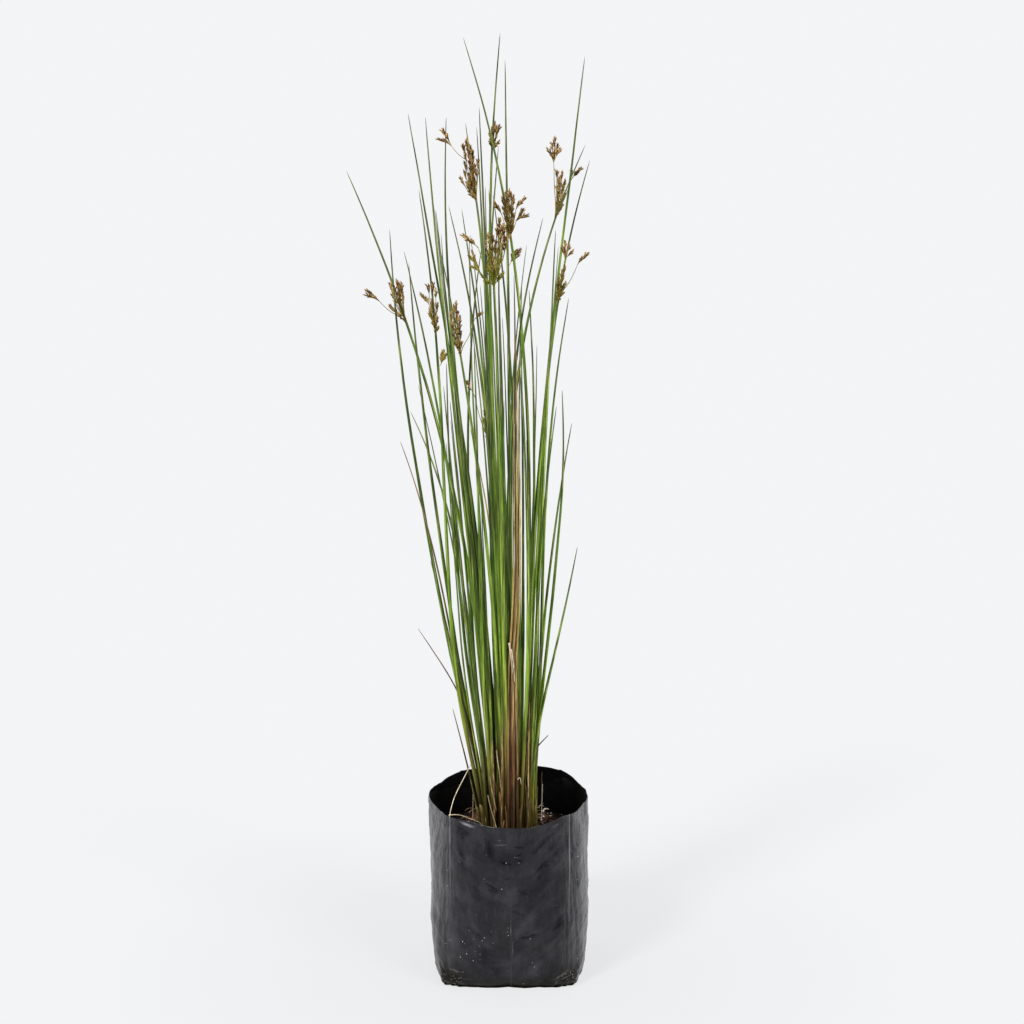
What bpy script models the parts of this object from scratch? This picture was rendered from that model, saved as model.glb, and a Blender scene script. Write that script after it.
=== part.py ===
# A rush tussock in a black film planter bag.
# Metres, +Z up, +X right and +Y away from the viewer. The origin is the middle of the bag's base.

import math

import bmesh
import bpy
import numpy as np
from mathutils import Matrix, Vector

MM = 0.001
GAP = 0.3 * MM                  # air between neighbouring pieces
SAME_PLACE = 0.01 * MM          # corners closer than this are one
SHARP_ANGLE = 40                # degrees

# Planter bag
BAG_HEIGHT = 166 * MM
FILM = 0.8 * MM                 # wall, thicker than the real film
BAG_SIDES = 24
# Level curves of the bag: height, half width, half depth, squareness of the corners
BAG_SECTIONS = (
    (0 * MM, 67 * MM, 57 * MM, 6.0),
    (4 * MM, 69 * MM, 59 * MM, 5.5),
    (20 * MM, 72 * MM, 66 * MM, 4.0),
    (55 * MM, 74 * MM, 72 * MM, 3.0),
    (110 * MM, 75 * MM, 75 * MM, 2.5),
    (BAG_HEIGHT, 75 * MM, 76 * MM, 2.3),
)

# Potting mix
SOIL_TOP = 131 * MM             # level round the crown of the plant
SOIL_EDGE_DROP = 4 * MM         # lower where it meets the film
SOIL_LUMP = 2.5 * MM
SOIL_LUMP_SHARE = 0.4           # of that height goes into waves round the bag
SOIL_WAVES = ((3, 9, 1), (7, -5, 0.6))  # waves round the bag, turn from ring to ring, strength
SOIL_RINGS = (0.9, 0.72, 0.52)  # share of the bag's radius, from the film to the crown

# Stems
CROWN_RADIUS = 33 * MM          # all stems leave the mix inside this circle
CROWN_DEPTH_SHARE = 0.28        # a foot stands this share of its tip's depth from the middle
STEM_LEAN = 0.4                 # share of its lean that a stem has as a straight line
LEVEL_STEP = 74 * MM            # height between the points of a stem
SHORTEST_END = 8 * MM           # the last point lies at least this far above the one before
STEM_TIP_RADIUS = 0.3 * MM
STEM_TAPER = 0.55               # exponent, below 1 keeps the stem stout until near its tip
STEM_ROUNDNESS = 1              # bevel steps, six sides
PIECE_AIR = 0.7 * MM            # least air aimed at where two pieces of the plant pass each other
SAMPLE_STEP = 8 * MM            # height between the places where that air is looked at
SETTLING_ROUNDS = 900
SETTLING_PUSH = 0.55            # share of a lack of air that one round makes good
SETTLING_CALM = 0.2             # how strongly a stem resists being bent by its neighbours
COMPARED_AT = 0.5               # share of the shared height where two stems are put in order
NO_WEIGHT = 1e-9                # keeps a division by nothing out

GREEN = (0.12, 0.22, 0.055)
DARK_GREEN = (0.075, 0.13, 0.05)
STRAW = (0.42, 0.30, 0.15)
BROWN = (0.20, 0.11, 0.075)
FILM_BLACK = (0.016, 0.015, 0.018)
MIX_BROWN = (0.045, 0.03, 0.02)
FILM_ROUGHNESS = 0.3
STEM_ROUGHNESS = 0.5
HEAD_ROUGHNESS = 0.8
MIX_ROUGHNESS = 0.95

# One row for each stem, in millimetres: sideways place at the foot, at one third, at two thirds
# and at the tip, height of the tip, depth of the tip, radius at the foot, colour
STEMS = (
    (16, 19, 11, -38, 870, -35, 2.1, GREEN),
    (-5, -8, -16, -7, 870, 12, 2.2, GREEN),
    (3, 2, 0, -3, 842, 62, 2.1, DARK_GREEN),
    (21, 21, 39, 66, 853, -20, 2.2, GREEN),
    (-13, -23, -52, -89, 796, 48, 2.1, DARK_GREEN),
    (-17, -30, -51, -70, 806, -62, 2.1, GREEN),
    (-15, -26, -48, -54, 798, 8, 2.1, GREEN),
    (-3, -10, -15, -36, 803, -78, 2.2, GREEN),
    (1, -10, -18, -28, 785, 40, 2.0, GREEN),
    (2, -7, -16, -25, 809, -15, 2.1, DARK_GREEN),
    (-8, -13, -18, -9, 761, 96, 2.0, DARK_GREEN),
    (-19, -30, -70, -143, 749, 22, 2.2, GREEN),
    (-23, -55, -86, -103, 705, -30, 2.1, DARK_GREEN),
    (-22, -37, -59, -95, 668, 70, 2.0, GREEN),
    (-25, -51, -59, -76, 746, -72, 2.1, GREEN),
    (-13, -24, -44, -66, 703, 88, 2.0, DARK_GREEN),
    (-5, -11, -28, -57, 696, -92, 2.1, GREEN),
    (-2, -9, -20, -53, 717, 30, 2.0, GREEN),
    (-4, -9, -18, -40, 726, -48, 2.0, GREEN),
    (-27, -33, -37, -24, 676, 66, 1.9, DARK_GREEN),
    (-15, -21, -31, -36, 677, 108, 1.5, STRAW),
    (-24, -32, -44, -56, 575, -66, 1.8, GREEN),
    (-23, -37, -50, -56, 573, 36, 1.9, GREEN),
    (-21, -30, -40, -52, 549, -14, 1.7, DARK_GREEN),
    (-25, -42, -62, -95, 520, -48, 1.3, BROWN),
    (-26, -48, -71, -88, 670, 4, 2.1, GREEN),
    (-20, -32, -47, -90, 522, 56, 1.8, GREEN),
    (-23, -32, -46, -82, 340, -22, 1.1, BROWN),
    (-25, -33, -42, -52, 247, 20, 1.1, STRAW),
    (-24, -36, -52, -72, 386, 34, 1.1, STRAW),
    (27, 28, 44, 62, 417, -26, 1.8, GREEN),
    (26, 28, 39, 58, 515, 42, 1.9, GREEN),
    (30, 32, 45, 48, 558, -10, 2.0, GREEN),
    (22, 24, 29, 42, 554, -58, 1.8, DARK_GREEN),
    (26, 30, 35, 54, 635, 20, 2.0, GREEN),
    (23, 27, 35, 73, 753, 60, 2.1, DARK_GREEN),
    (0, -1, 8, 68, 770, 34, 2.1, GREEN),
    (5, 3, 2, 30, 721, -64, 2.0, GREEN),
    (14, 21, 24, 19, 630, 88, 2.0, GREEN),
    (19, 25, 33, 41, 707, -42, 2.0, GREEN),
    (6, 7, 7, 5, 664, -26, 1.8, BROWN),
    (11, 8, 4, -14, 719, 78, 2.0, DARK_GREEN),
    (-1, -4, -8, -16, 750, -100, 2.3, GREEN),
    (-9, -11, -16, -20, 663, -72, 2.0, GREEN),
    (2, 0, -5, -9, 661, 56, 1.9, GREEN),
    (11, 17, 17, 11, 592, -82, 2.0, GREEN),
    (-18, -23, -26, -29, 615, -88, 1.9, GREEN),
    (-8, -9, -14, -36, 497, 92, 1.5, STRAW),
)

# Flower heads
STALK_RADIUS = 0.55 * MM
SPIKELET_RADIUS = 2.3 * MM
SPIKELET_LENGTH = 17 * MM
SPIKELET_SIDES = 4
SPIKELET_BELLY = 0.55           # share of a spikelet that lies between its belly and its point
LEAST_BELLY = 0.45              # on a short branch, share of the way where the belly lies at least
LEAST_STALK = 0.15              # the same for the bare stalk
BELLY_ROOM = 1.15               # spikelet radii between the stem's skin and the branch
BRANCH_TIP = 0.25 * MM
HEAD_CORE_RADIUS = 2 * MM
HEAD_DEPTH = 8 * MM             # how far the branches spread away from the stem
HEAD_BROWN = (0.19, 0.10, 0.05)
FRONT, BACK = -1, 1
# Each head: number of the stem that carries it, height of its foot, side of the stem, and the
# tips of its branches in millimetres from the foot, sideways and up
HEADS = (
    (12, 616 * MM, FRONT, ((-6, 39), (-12, 33), (0, 36), (-14, 16), (-5, 20), (-9, 27), (-31, 30),
                           (-27, 22))),
    (15, 620 * MM, FRONT, ((-3, 47), (-12, 36), (-5, 31), (2, 33), (-2, 22), (-8, 24))),
    (17, 606 * MM, FRONT, ((1, 47), (-4, 34), (6, 32), (5, 20), (-4, 18), (2, 38), (23, 38))),
    (8, 737 * MM, FRONT, ((-8, 54), (1, 51), (6, 40), (-12, 36), (-4, 42), (5, 27), (-9, 20), (-29, 61),
                          (-22, 56))),
    (2, 770 * MM, FRONT, ((-3, 25), (3, 24), (7, 19), (6, 11), (0, 17))),
    (1, 700 * MM, FRONT, ((-4, 43), (-8, 38), (2, 40), (14, 33), (15, 21), (-15, 29), (-9, 20), (4, 28))),
    (43, 662 * MM, FRONT, ((-4, 60), (5, 66), (11, 62), (12, 50), (-1, 50), (7, 40), (-4, 35), (5, 26),
                           (10, 19), (-18, 37), (-16, 24), (-26, 53))),
    (37, 703 * MM, BACK, ((2, 45), (8, 40), (-2, 35), (5, 27), (-3, 21), (20, 44), (-9, 71), (-1, 69),
                          (-7, 57))),
    (4, 643 * MM, FRONT, ((4, 53), (8, 45), (5, 31), (2, 21), (-2, 17), (26, 41), (20, 36))),
    (3, 655 * MM, BACK, ((11, 17), (5, 15), (1, 13), (9, 8))),
)
GOLDEN_SHARE = 0.618


def clear_scene():
    for item in list(bpy.data.objects):
        bpy.data.objects.remove(item, do_unlink=True)


def material(name, colour, roughness):
    made = bpy.data.materials.new(name)
    made.use_nodes = True
    shader = made.node_tree.nodes["Principled BSDF"]
    shader.inputs["Base Color"].default_value = (*colour, 1)
    shader.inputs["Roughness"].default_value = roughness
    shader.inputs["Metallic"].default_value = 0
    return made


def add_object(name, data, finish):
    item = bpy.data.objects.new(name, data)
    item.data.materials.append(finish)
    bpy.context.collection.objects.link(item)
    return item


def mesh_object(name, bm, finish):
    bmesh.ops.recalc_face_normals(bm, faces=bm.faces)
    mesh = bpy.data.meshes.new(name)
    bm.to_mesh(mesh)
    bm.free()
    item = add_object(name, mesh, finish)
    mesh.shade_smooth()
    mesh.set_sharp_from_angle(angle=math.radians(SHARP_ANGLE))
    return item


# Rings of points and the skins between them

def ring_face(bm, points):
    return bm.faces.new([bm.verts.new(point) for point in points])


def grow_ring(bm, face, points):
    # Extrudes a face and moves its corners to the next ring of points
    grown = bmesh.ops.extrude_discrete_faces(bm, faces=[face])["faces"][0]
    for corner, point in zip(grown.verts, points):
        corner.co = point
    return grown


def skin(rings):
    # A closed body through rings of points, with a flat face at both ends
    bm = bmesh.new()
    last = ring_face(bm, rings[0])
    bottom = [corner.co.copy() for corner in last.verts]
    for points in rings[1:]:
        last = grow_ring(bm, last, points)
    ring_face(bm, list(reversed(bottom)))
    bmesh.ops.remove_doubles(bm, verts=bm.verts, dist=SAME_PLACE)
    # Twisted quads of two nested skins are split along the same diagonal, so that the skins stay apart
    quads = [face for face in bm.faces if len(face.verts) == 4]
    bmesh.ops.triangulate(bm, faces=quads, quad_method="SHORT_EDGE")
    return bm


# The bag and the mix

def bag_section(height):
    heights = [row[0] for row in BAG_SECTIONS]
    return [float(np.interp(height, heights, [row[n] for row in BAG_SECTIONS])) for n in (1, 2, 3)]


def bag_ring(height, inset, share=1.0, rise=None):
    # Points round the bag at a height, moved in from the outer face of the film
    half_width, half_depth, squareness = bag_section(height)
    half_width -= inset
    half_depth -= inset
    points = []
    for n in range(BAG_SIDES):
        turn = math.tau * n / BAG_SIDES
        east = abs(math.cos(turn)) / half_width
        north = abs(math.sin(turn)) / half_depth
        reach = share * (east ** squareness + north ** squareness) ** (-1 / squareness)
        lift = rise(turn) if rise else 0
        points.append(Vector((reach * math.cos(turn), reach * math.sin(turn), height + lift)))
    return points


def planter_bag():
    heights = [row[0] for row in BAG_SECTIONS]
    outer = [bag_ring(height, 0) for height in heights]
    inner = [bag_ring(height, FILM) for height in reversed(heights[1:])] + [bag_ring(FILM, FILM)]
    mesh_object("planter_bag", skin(outer + inner), material("black_film", FILM_BLACK, FILM_ROUGHNESS))


def soil_lumps(share):
    def rise(turn):
        waves = [strength * math.sin(count * turn + twist * share) for count, twist, strength in SOIL_WAVES]
        wave = sum(waves)
        highest = sum(row[2] for row in SOIL_WAVES)
        return -SOIL_LUMP * (1 - share) - SOIL_LUMP_SHARE * SOIL_LUMP * (1 + wave / highest)
    return rise


def potting_mix():
    inset = FILM + GAP
    heights = [FILM + GAP] + [row[0] for row in BAG_SECTIONS[1:-1]]
    rings = [bag_ring(height, inset) for height in heights]
    rings.append(bag_ring(SOIL_TOP - SOIL_EDGE_DROP, inset))
    for share in SOIL_RINGS[:-1]:
        rings.append(bag_ring(SOIL_TOP, inset, share, soil_lumps(share)))
    rings.append(bag_ring(SOIL_TOP, inset, SOIL_RINGS[-1]))
    mesh_object("potting_mix", skin(rings), material("dark_mix", MIX_BROWN, MIX_ROUGHNESS))


# Stem axes: every stem has a point at the same heights, and one at its tip

def cubic_through(values, share):
    # The cubic that has the four values at 0, one third, two thirds and 1
    total = 0
    for i, value in enumerate(values):
        weight = 1
        for j in range(4):
            if j != i:
                weight *= (share - j / 3) / ((i - j) / 3)
        total += weight * value
    return total


def stem_radius(stem, height):
    foot, top = SOIL_TOP + GAP, stem[4] * MM
    left = max(0.0, 1 - (height - foot) / (top - foot))
    return STEM_TIP_RADIUS + (stem[6] * MM - STEM_TIP_RADIUS) * left ** STEM_TAPER


def stem_axis(stem):
    foot, top = SOIL_TOP + GAP, stem[4] * MM
    heights = list(np.arange(foot, top - SHORTEST_END, LEVEL_STEP)) + [top]
    tip_depth = stem[5] * MM
    foot_depth = max(-CROWN_RADIUS, min(CROWN_RADIUS, tip_depth * CROWN_DEPTH_SHARE))
    axis = []
    for height in heights:
        share = (height - foot) / (top - foot)
        lean = STEM_LEAN * share + (1 - STEM_LEAN) * share * share
        across = cubic_through(stem[:4], share) * MM
        axis.append((across, foot_depth + (tip_depth - foot_depth) * lean, height))
    return np.array(axis)


def segment_at(axis, height):
    # The segment of an axis at a height, and the share along it
    n = int(np.clip(np.searchsorted(axis[:, 2], height) - 1, 0, len(axis) - 2))
    return n, (height - axis[n, 2]) / (axis[n + 1, 2] - axis[n, 2])


def point_at(axis, height):
    n, share = segment_at(axis, height)
    return axis[n] + (axis[n + 1] - axis[n]) * share


def branch_line(head, branch_number, axis):
    # A flower branch as rows of sideways place, distance from the stem's axis, height and radius
    stem = STEMS[head[0] - 1]
    across, rise = (value * MM for value in head[3][branch_number])
    foot = point_at(axis, head[1])
    spread = HEAD_DEPTH * ((branch_number + 1) * GOLDEN_SHARE % 1)
    length = math.hypot(across, rise, spread)
    belly = max(LEAST_BELLY, 1 - SPIKELET_BELLY * SPIKELET_LENGTH / length)
    stalk = max(LEAST_STALK, 1 - SPIKELET_LENGTH / length)
    profile = ((0, STALK_RADIUS), (stalk, STALK_RADIUS), (belly, SPIKELET_RADIUS), (1, BRANCH_TIP))
    rows = []
    for share, radius in profile:
        height = head[1] + rise * share
        beside = stem_radius(stem, height) + GAP + BELLY_ROOM * SPIKELET_RADIUS
        away = beside + spread * share
        rows.append((foot[0] + across * share, head[2] * away, height, radius))
    return np.array(rows)


def discs_at(height, axes, branches):
    # What stands at a height: stem number, sideways place, distance from the stem's axis, radius
    discs = [(n, point_at(axis, height)[0], 0, stem_radius(STEMS[n], height))
             for n, axis in enumerate(axes) if axis[0, 2] <= height <= axis[-1, 2]]
    for n, line in branches:
        if line[0, 2] <= height <= line[-1, 2]:
            across, away, radius = (np.interp(height, line[:, 2], line[:, n]) for n in (0, 1, 3))
            slant = math.dist(line[0, :3], line[-1, :3]) / (line[-1, 2] - line[0, 2])
            discs.append((n, across, away, radius * slant))
    return np.array(discs)


def depth_bounds(axes, branches):
    # Rows of: front stem, its point and share, back stem, its point and share, least depth between
    start = np.cumsum([0] + [len(axis) for axis in axes[:-1]])
    rows = []
    for height in np.arange(SOIL_TOP + GAP, max(axis[-1, 2] for axis in axes), SAMPLE_STEP):
        discs = discs_at(height, axes, branches)
        a, b = np.triu_indices(len(discs), 1)
        gap_across = np.abs(discs[a, 1] - discs[b, 1])
        need = discs[a, 3] + discs[b, 3] + PIECE_AIR
        for one, two in zip(*(side[(gap_across < need) & (discs[a, 0] != discs[b, 0])] for side in (a, b))):
            stem_one, stem_two = int(discs[one, 0]), int(discs[two, 0])
            lower_tip = min(axes[stem_one][-1, 2], axes[stem_two][-1, 2])
            shared = SOIL_TOP + COMPARED_AT * (lower_tip - SOIL_TOP)
            if point_at(axes[stem_one], shared)[1] > point_at(axes[stem_two], shared)[1]:
                one, two, stem_one, stem_two = two, one, stem_two, stem_one
            reach = discs[one, 3] + discs[two, 3] + PIECE_AIR
            least = math.sqrt(reach ** 2 - (discs[one, 1] - discs[two, 1]) ** 2)
            least += discs[one, 2] - discs[two, 2]
            front, back = segment_at(axes[stem_one], height), segment_at(axes[stem_two], height)
            rows.append((start[stem_one] + front[0], front[1], start[stem_two] + back[0], back[1], least))
    return np.array(rows), start


def settled_axes():
    # Stems that cross in the front view pass before or behind each other: only depths move
    axes = [stem_axis(stem) for stem in STEMS]
    branches = [(head[0] - 1, branch_line(head, number, axes[head[0] - 1]))
                for head in HEADS for number in range(len(head[3]))]
    rows, start = depth_bounds(axes, branches)
    front, back = rows[:, 0].astype(int), rows[:, 2].astype(int)
    front_share, back_share, least = rows[:, 1], rows[:, 3], rows[:, 4]
    planned = np.concatenate([axis[:, 1] for axis in axes])
    feet_across = np.array([axis[0, 0] for axis in axes])
    room = np.sqrt(np.maximum(CROWN_RADIUS ** 2 - feet_across ** 2, (CROWN_RADIUS / 3) ** 2))
    last = np.append(start[1:], len(planned)) - 1
    before = np.arange(len(planned)) - 1
    after = np.arange(len(planned)) + 1
    before[start], after[last] = start, last
    depth = planned.copy()
    for settling in range(SETTLING_ROUNDS):
        front_depth = depth[front] * (1 - front_share) + depth[front + 1] * front_share
        back_depth = depth[back] * (1 - back_share) + depth[back + 1] * back_share
        lack = np.maximum(least - (back_depth - front_depth), 0)
        push = np.zeros(len(depth))
        weight = np.full(len(depth), NO_WEIGHT)
        for point, share, way in ((front, 1 - front_share, -1), (front + 1, front_share, -1),
                                  (back, 1 - back_share, 1), (back + 1, back_share, 1)):
            np.add.at(push, point, way * lack * share)
            np.add.at(weight, point, share * (lack > 0))
        depth += SETTLING_PUSH * push / weight
        bend = depth - planned
        calm = SETTLING_CALM * (1 - settling / SETTLING_ROUNDS)
        depth += calm * (bend[before] + bend[after] - 2 * bend)
        depth[start] = np.clip(depth[start], -room, room)
    for axis, first in zip(axes, start):
        axis[:, 1] = depth[first:first + len(axis)]
    return axes


def rush_stem(number, stem, axis):
    curve = bpy.data.curves.new(f"rush_stem_{number:02d}", "CURVE")
    curve.dimensions = "3D"
    curve.bevel_depth = stem[6] * MM
    curve.bevel_resolution = STEM_ROUNDNESS
    curve.use_fill_caps = True
    curve.resolution_u = 1
    curve.render_resolution_u = 0
    spline = curve.splines.new("POLY")
    spline.points.add(len(axis) - 1)
    for point, place in zip(spline.points, axis):
        point.co = (*place, 1)
        point.radius = stem_radius(stem, place[2]) / (stem[6] * MM)
    finish = material(f"stem_colour_{number:02d}", stem[7], STEM_ROUGHNESS)
    add_object(curve.name, curve, finish)


def spindle(bm, rows):
    # One flower branch: a thin stalk that swells into a pointed spikelet
    facing = (Vector(rows[-1][:3]) - Vector(rows[0][:3])).to_track_quat("Z", "Y").to_matrix()
    turns = [math.tau * n / SPIKELET_SIDES for n in range(SPIKELET_SIDES)]
    spokes = [facing @ Vector((math.cos(turn), math.sin(turn), 0)) for turn in turns]
    rings = [[Vector((x, y, z)) + spoke * radius for spoke in spokes] for x, y, z, radius in rows]
    part = skin(rings)
    bmesh.ops.recalc_face_normals(part, faces=part.faces)
    mesh = bpy.data.meshes.new("spikelet")
    part.to_mesh(mesh)
    part.free()
    bm.from_mesh(mesh)
    bpy.data.meshes.remove(mesh)


def flower_head(number, head, axis):
    stem = STEMS[head[0] - 1]
    branches = bmesh.new()
    for branch_number in range(len(head[3])):
        rows = branch_line(head, branch_number, axis)
        rows[:, 1] += [point_at(axis, height)[1] for height in rows[:, 2]]
        spindle(branches, rows)
    brown = material(f"head_colour_{number:02d}", HEAD_BROWN, HEAD_ROUGHNESS)
    guide = mesh_object(f"branches_{number:02d}", branches, brown)
    guide.hide_render = True
    guide.display_type = "WIRE"
    foot = point_at(axis, head[1])
    foot[1] += head[2] * (stem_radius(stem, head[1]) + HEAD_CORE_RADIUS + GAP)
    core = bmesh.new()
    bmesh.ops.create_icosphere(core, subdivisions=1, radius=HEAD_CORE_RADIUS, matrix=Matrix.Translation(foot))
    item = mesh_object(f"flower_head_{number:02d}", core, brown)
    join = item.modifiers.new("join_branches", "BOOLEAN")
    join.operation = "UNION"
    join.object = guide
    join.solver = "EXACT"
    join.use_self = True


clear_scene()
planter_bag()
potting_mix()
stem_axes = settled_axes()
for stem_number, (stem_row, stem_line) in enumerate(zip(STEMS, stem_axes), 1):
    rush_stem(stem_number, stem_row, stem_line)
for head_number, head_row in enumerate(HEADS, 1):
    flower_head(head_number, head_row, stem_axes[head_row[0] - 1])
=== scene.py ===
import functools
import math
import random

import bmesh
import bpy
import numpy as np
from mathutils import Matrix, Vector, noise


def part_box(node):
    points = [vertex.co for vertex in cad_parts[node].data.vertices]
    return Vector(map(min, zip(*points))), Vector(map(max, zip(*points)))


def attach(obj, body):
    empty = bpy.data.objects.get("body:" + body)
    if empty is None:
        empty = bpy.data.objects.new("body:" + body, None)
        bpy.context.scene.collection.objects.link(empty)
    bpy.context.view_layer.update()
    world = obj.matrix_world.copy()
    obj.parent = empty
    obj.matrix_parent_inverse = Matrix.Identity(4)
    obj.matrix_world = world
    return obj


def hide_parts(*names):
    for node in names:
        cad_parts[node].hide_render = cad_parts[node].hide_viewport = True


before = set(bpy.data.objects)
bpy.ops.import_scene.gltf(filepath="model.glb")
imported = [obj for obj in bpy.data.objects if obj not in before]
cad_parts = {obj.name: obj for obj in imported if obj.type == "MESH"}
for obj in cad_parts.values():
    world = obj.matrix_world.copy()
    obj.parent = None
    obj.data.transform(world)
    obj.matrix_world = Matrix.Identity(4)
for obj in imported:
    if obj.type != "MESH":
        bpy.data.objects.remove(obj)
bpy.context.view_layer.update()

mm = 0.001
upward = Vector((0, 0, 1))
goldenTurn = math.tau * 0.381966
noise.seed_set(1)       # noise_vector starts from the clock otherwise


# Camera, floor and light

studio = {
    "eye": (3.3 * mm, -2300 * mm, 1078 * mm),
    "pitch": 15.45,                 # degrees below the horizon
    "fieldOfView": 22,
    "floorReach": 90,
    "floorBelow": 0.2 * mm,
    "floorColour": (0.10, 0.1007, 0.102),
    # The floor is lit from within, so that shadows stay faint: strength near and far, where it changes; the
    # weaker glow near the bag is a painted soft shadow
    "floorGlow": (0.698, 0.729),
    "glowFades": (0.2, 0.42),
    "glowColour": (0.985, 0.988, 1),
    "skyColour": (0.985, 0.99, 1.0),
    "skyHorizon": 0.92,
    "skyTop": 1.3,
    "skyTopHeight": 0.9,
    "skyBehindCamera": 0.16,        # share of the sky's light that comes from the camera's side
    "skyTurns": (-0.8, 0.0),        # from the camera's side to the far one
    # Soft suns: height and turn of the lamp in degrees, power, softness in degrees
    "suns": {"keySun": (46, -40, 2.7, 13), "fillSun": (50, 48, 1.6, 26)},
}


def addNode(tree, kind, inputs=None, **settings):
    # One node, with its inputs given as values or as the sockets they come from
    node = tree.nodes.new(kind)
    for name, value in settings.items():
        setattr(node, name, value)
    for name, value in (inputs or {}).items():
        if isinstance(value, bpy.types.NodeSocket):
            tree.links.new(value, node.inputs[name])
        else:
            node.inputs[name].default_value = value
    return node


def inScene(name, data):
    thing = bpy.data.objects.new(name, data)
    bpy.context.scene.collection.objects.link(thing)
    return thing


def meshOf(name, bm):
    mesh = bpy.data.meshes.new(name)
    bm.to_mesh(mesh)
    bm.free()
    return mesh


def setCamera():
    lens = bpy.data.cameras.new("viewCamera")
    lens.sensor_width = 36
    lens.lens = lens.sensor_width / 2 / math.tan(math.radians(studio["fieldOfView"] / 2))
    lens.clip_end = 300
    camera = inScene("viewCamera", lens)
    camera.location = studio["eye"]
    camera.rotation_euler = (math.radians(90 - studio["pitch"]), 0, 0)
    bpy.context.scene.camera = camera
    bpy.context.scene.view_settings.view_transform = "Standard"


def layFloor():
    bm = bmesh.new()
    bmesh.ops.create_grid(bm, x_segments=1, y_segments=1, size=studio["floorReach"],
                          matrix=Matrix.Translation((0, 0, -studio["floorBelow"])))
    floor = inScene("paleFloor", meshOf("paleFloor", bm))
    paper, tree, shader = newFinish("floorPaper", **{
        "Base Color": (*studio["floorColour"], 1), "Roughness": 0.9, "Specular IOR Level": 0,
        "Emission Color": (*studio["glowColour"], 1)})
    paper.cycles.emission_sampling = "NONE"
    away = addNode(tree, "ShaderNodeVectorMath", {0: objectPlace(tree)}, operation="LENGTH").outputs["Value"]
    # The glow is weaker near the bag: a painted soft shadow round it
    glow = spread(tree, away, *studio["glowFades"], *studio["floorGlow"])
    tree.links.new(glow, shader.inputs["Emission Strength"])
    floor.data.materials.append(paper)


def hangLights():
    world = bpy.data.worlds.new("studioSky")
    world.use_nodes = True
    tree = world.node_tree
    tree.nodes.clear()
    around = addNode(tree, "ShaderNodeTexCoord").outputs["Generated"]
    way = addNode(tree, "ShaderNodeSeparateXYZ", {0: around}).outputs
    height = spread(tree, way["Z"], 0.0, studio["skyTopHeight"], studio["skyHorizon"], studio["skyTop"])
    near, far = studio["skyTurns"]
    depth = addNode(tree, "ShaderNodeMapRange", {
        "Value": way["Y"], "From Min": near, "From Max": far,
        "To Min": studio["skyBehindCamera"], "To Max": 1.0}, interpolation_type="SMOOTHSTEP").outputs[0]
    sky = addNode(tree, "ShaderNodeBackground", {
        "Color": (*studio["skyColour"], 1), "Strength": times(tree, height, depth)})
    addNode(tree, "ShaderNodeOutputWorld", {"Surface": sky.outputs[0]})
    bpy.context.scene.world = world
    for name, (tilt, turn, power, softness) in studio["suns"].items():
        sun = bpy.data.lights.new(name, "SUN")
        sun.energy = power
        sun.angle = math.radians(softness)
        inScene(name, sun).rotation_euler = (math.radians(tilt), 0, math.radians(turn))


# Making pieces

def putPiece(name, bm, finishes, replaced=()):
    # A finished bmesh becomes a piece of the plant, where its points already are
    mesh = meshOf(name, bm)
    mesh.shade_smooth()
    for finish in finishes:
        mesh.materials.append(finish)
    piece = inScene(name, mesh)
    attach(piece, "root")
    if replaced:
        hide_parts(*replaced)
    return piece


def smoothStep(value, low, high):
    share = min(1.0, max(0.0, (value - low) / (high - low)))
    return share * share * (3 - 2 * share)


def hump(distance, reach):
    # 1 at the middle, fading to nothing over a reach or two
    return math.exp(-(distance / reach) ** 2)


def smoothThrough(knots, values, places):
    # A natural cubic curve through a few values
    steps = np.diff(knots)
    count = len(knots)
    balance = np.eye(count)
    pull = np.zeros(count)
    for n in range(1, count - 1):
        balance[n, n - 1:n + 2] = steps[n - 1], 2 * (steps[n - 1] + steps[n]), steps[n]
        pull[n] = 6 * ((values[n + 1] - values[n]) / steps[n] - (values[n] - values[n - 1]) / steps[n - 1])
    bend = np.linalg.solve(balance, pull)
    n = np.clip(np.searchsorted(knots, places) - 1, 0, count - 2)
    before = (knots[n + 1] - places) / steps[n]
    after = 1 - before
    curl = (before ** 3 - before) * bend[n] + (after ** 3 - after) * bend[n + 1]
    return before * values[n] + after * values[n + 1] + curl * steps[n] ** 2 / 6


def smoothRoute(points, count):
    # Even places along a smooth curve through given points
    points = np.array(points, float)
    travelled = np.concatenate([[0], np.cumsum(np.linalg.norm(np.diff(points, axis=0), axis=1))])
    places = np.linspace(0, travelled[-1], count)
    columns = [smoothThrough(travelled, points[:, axis], places) for axis in range(3)]
    return [Vector(point) for point in zip(*columns)]


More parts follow.
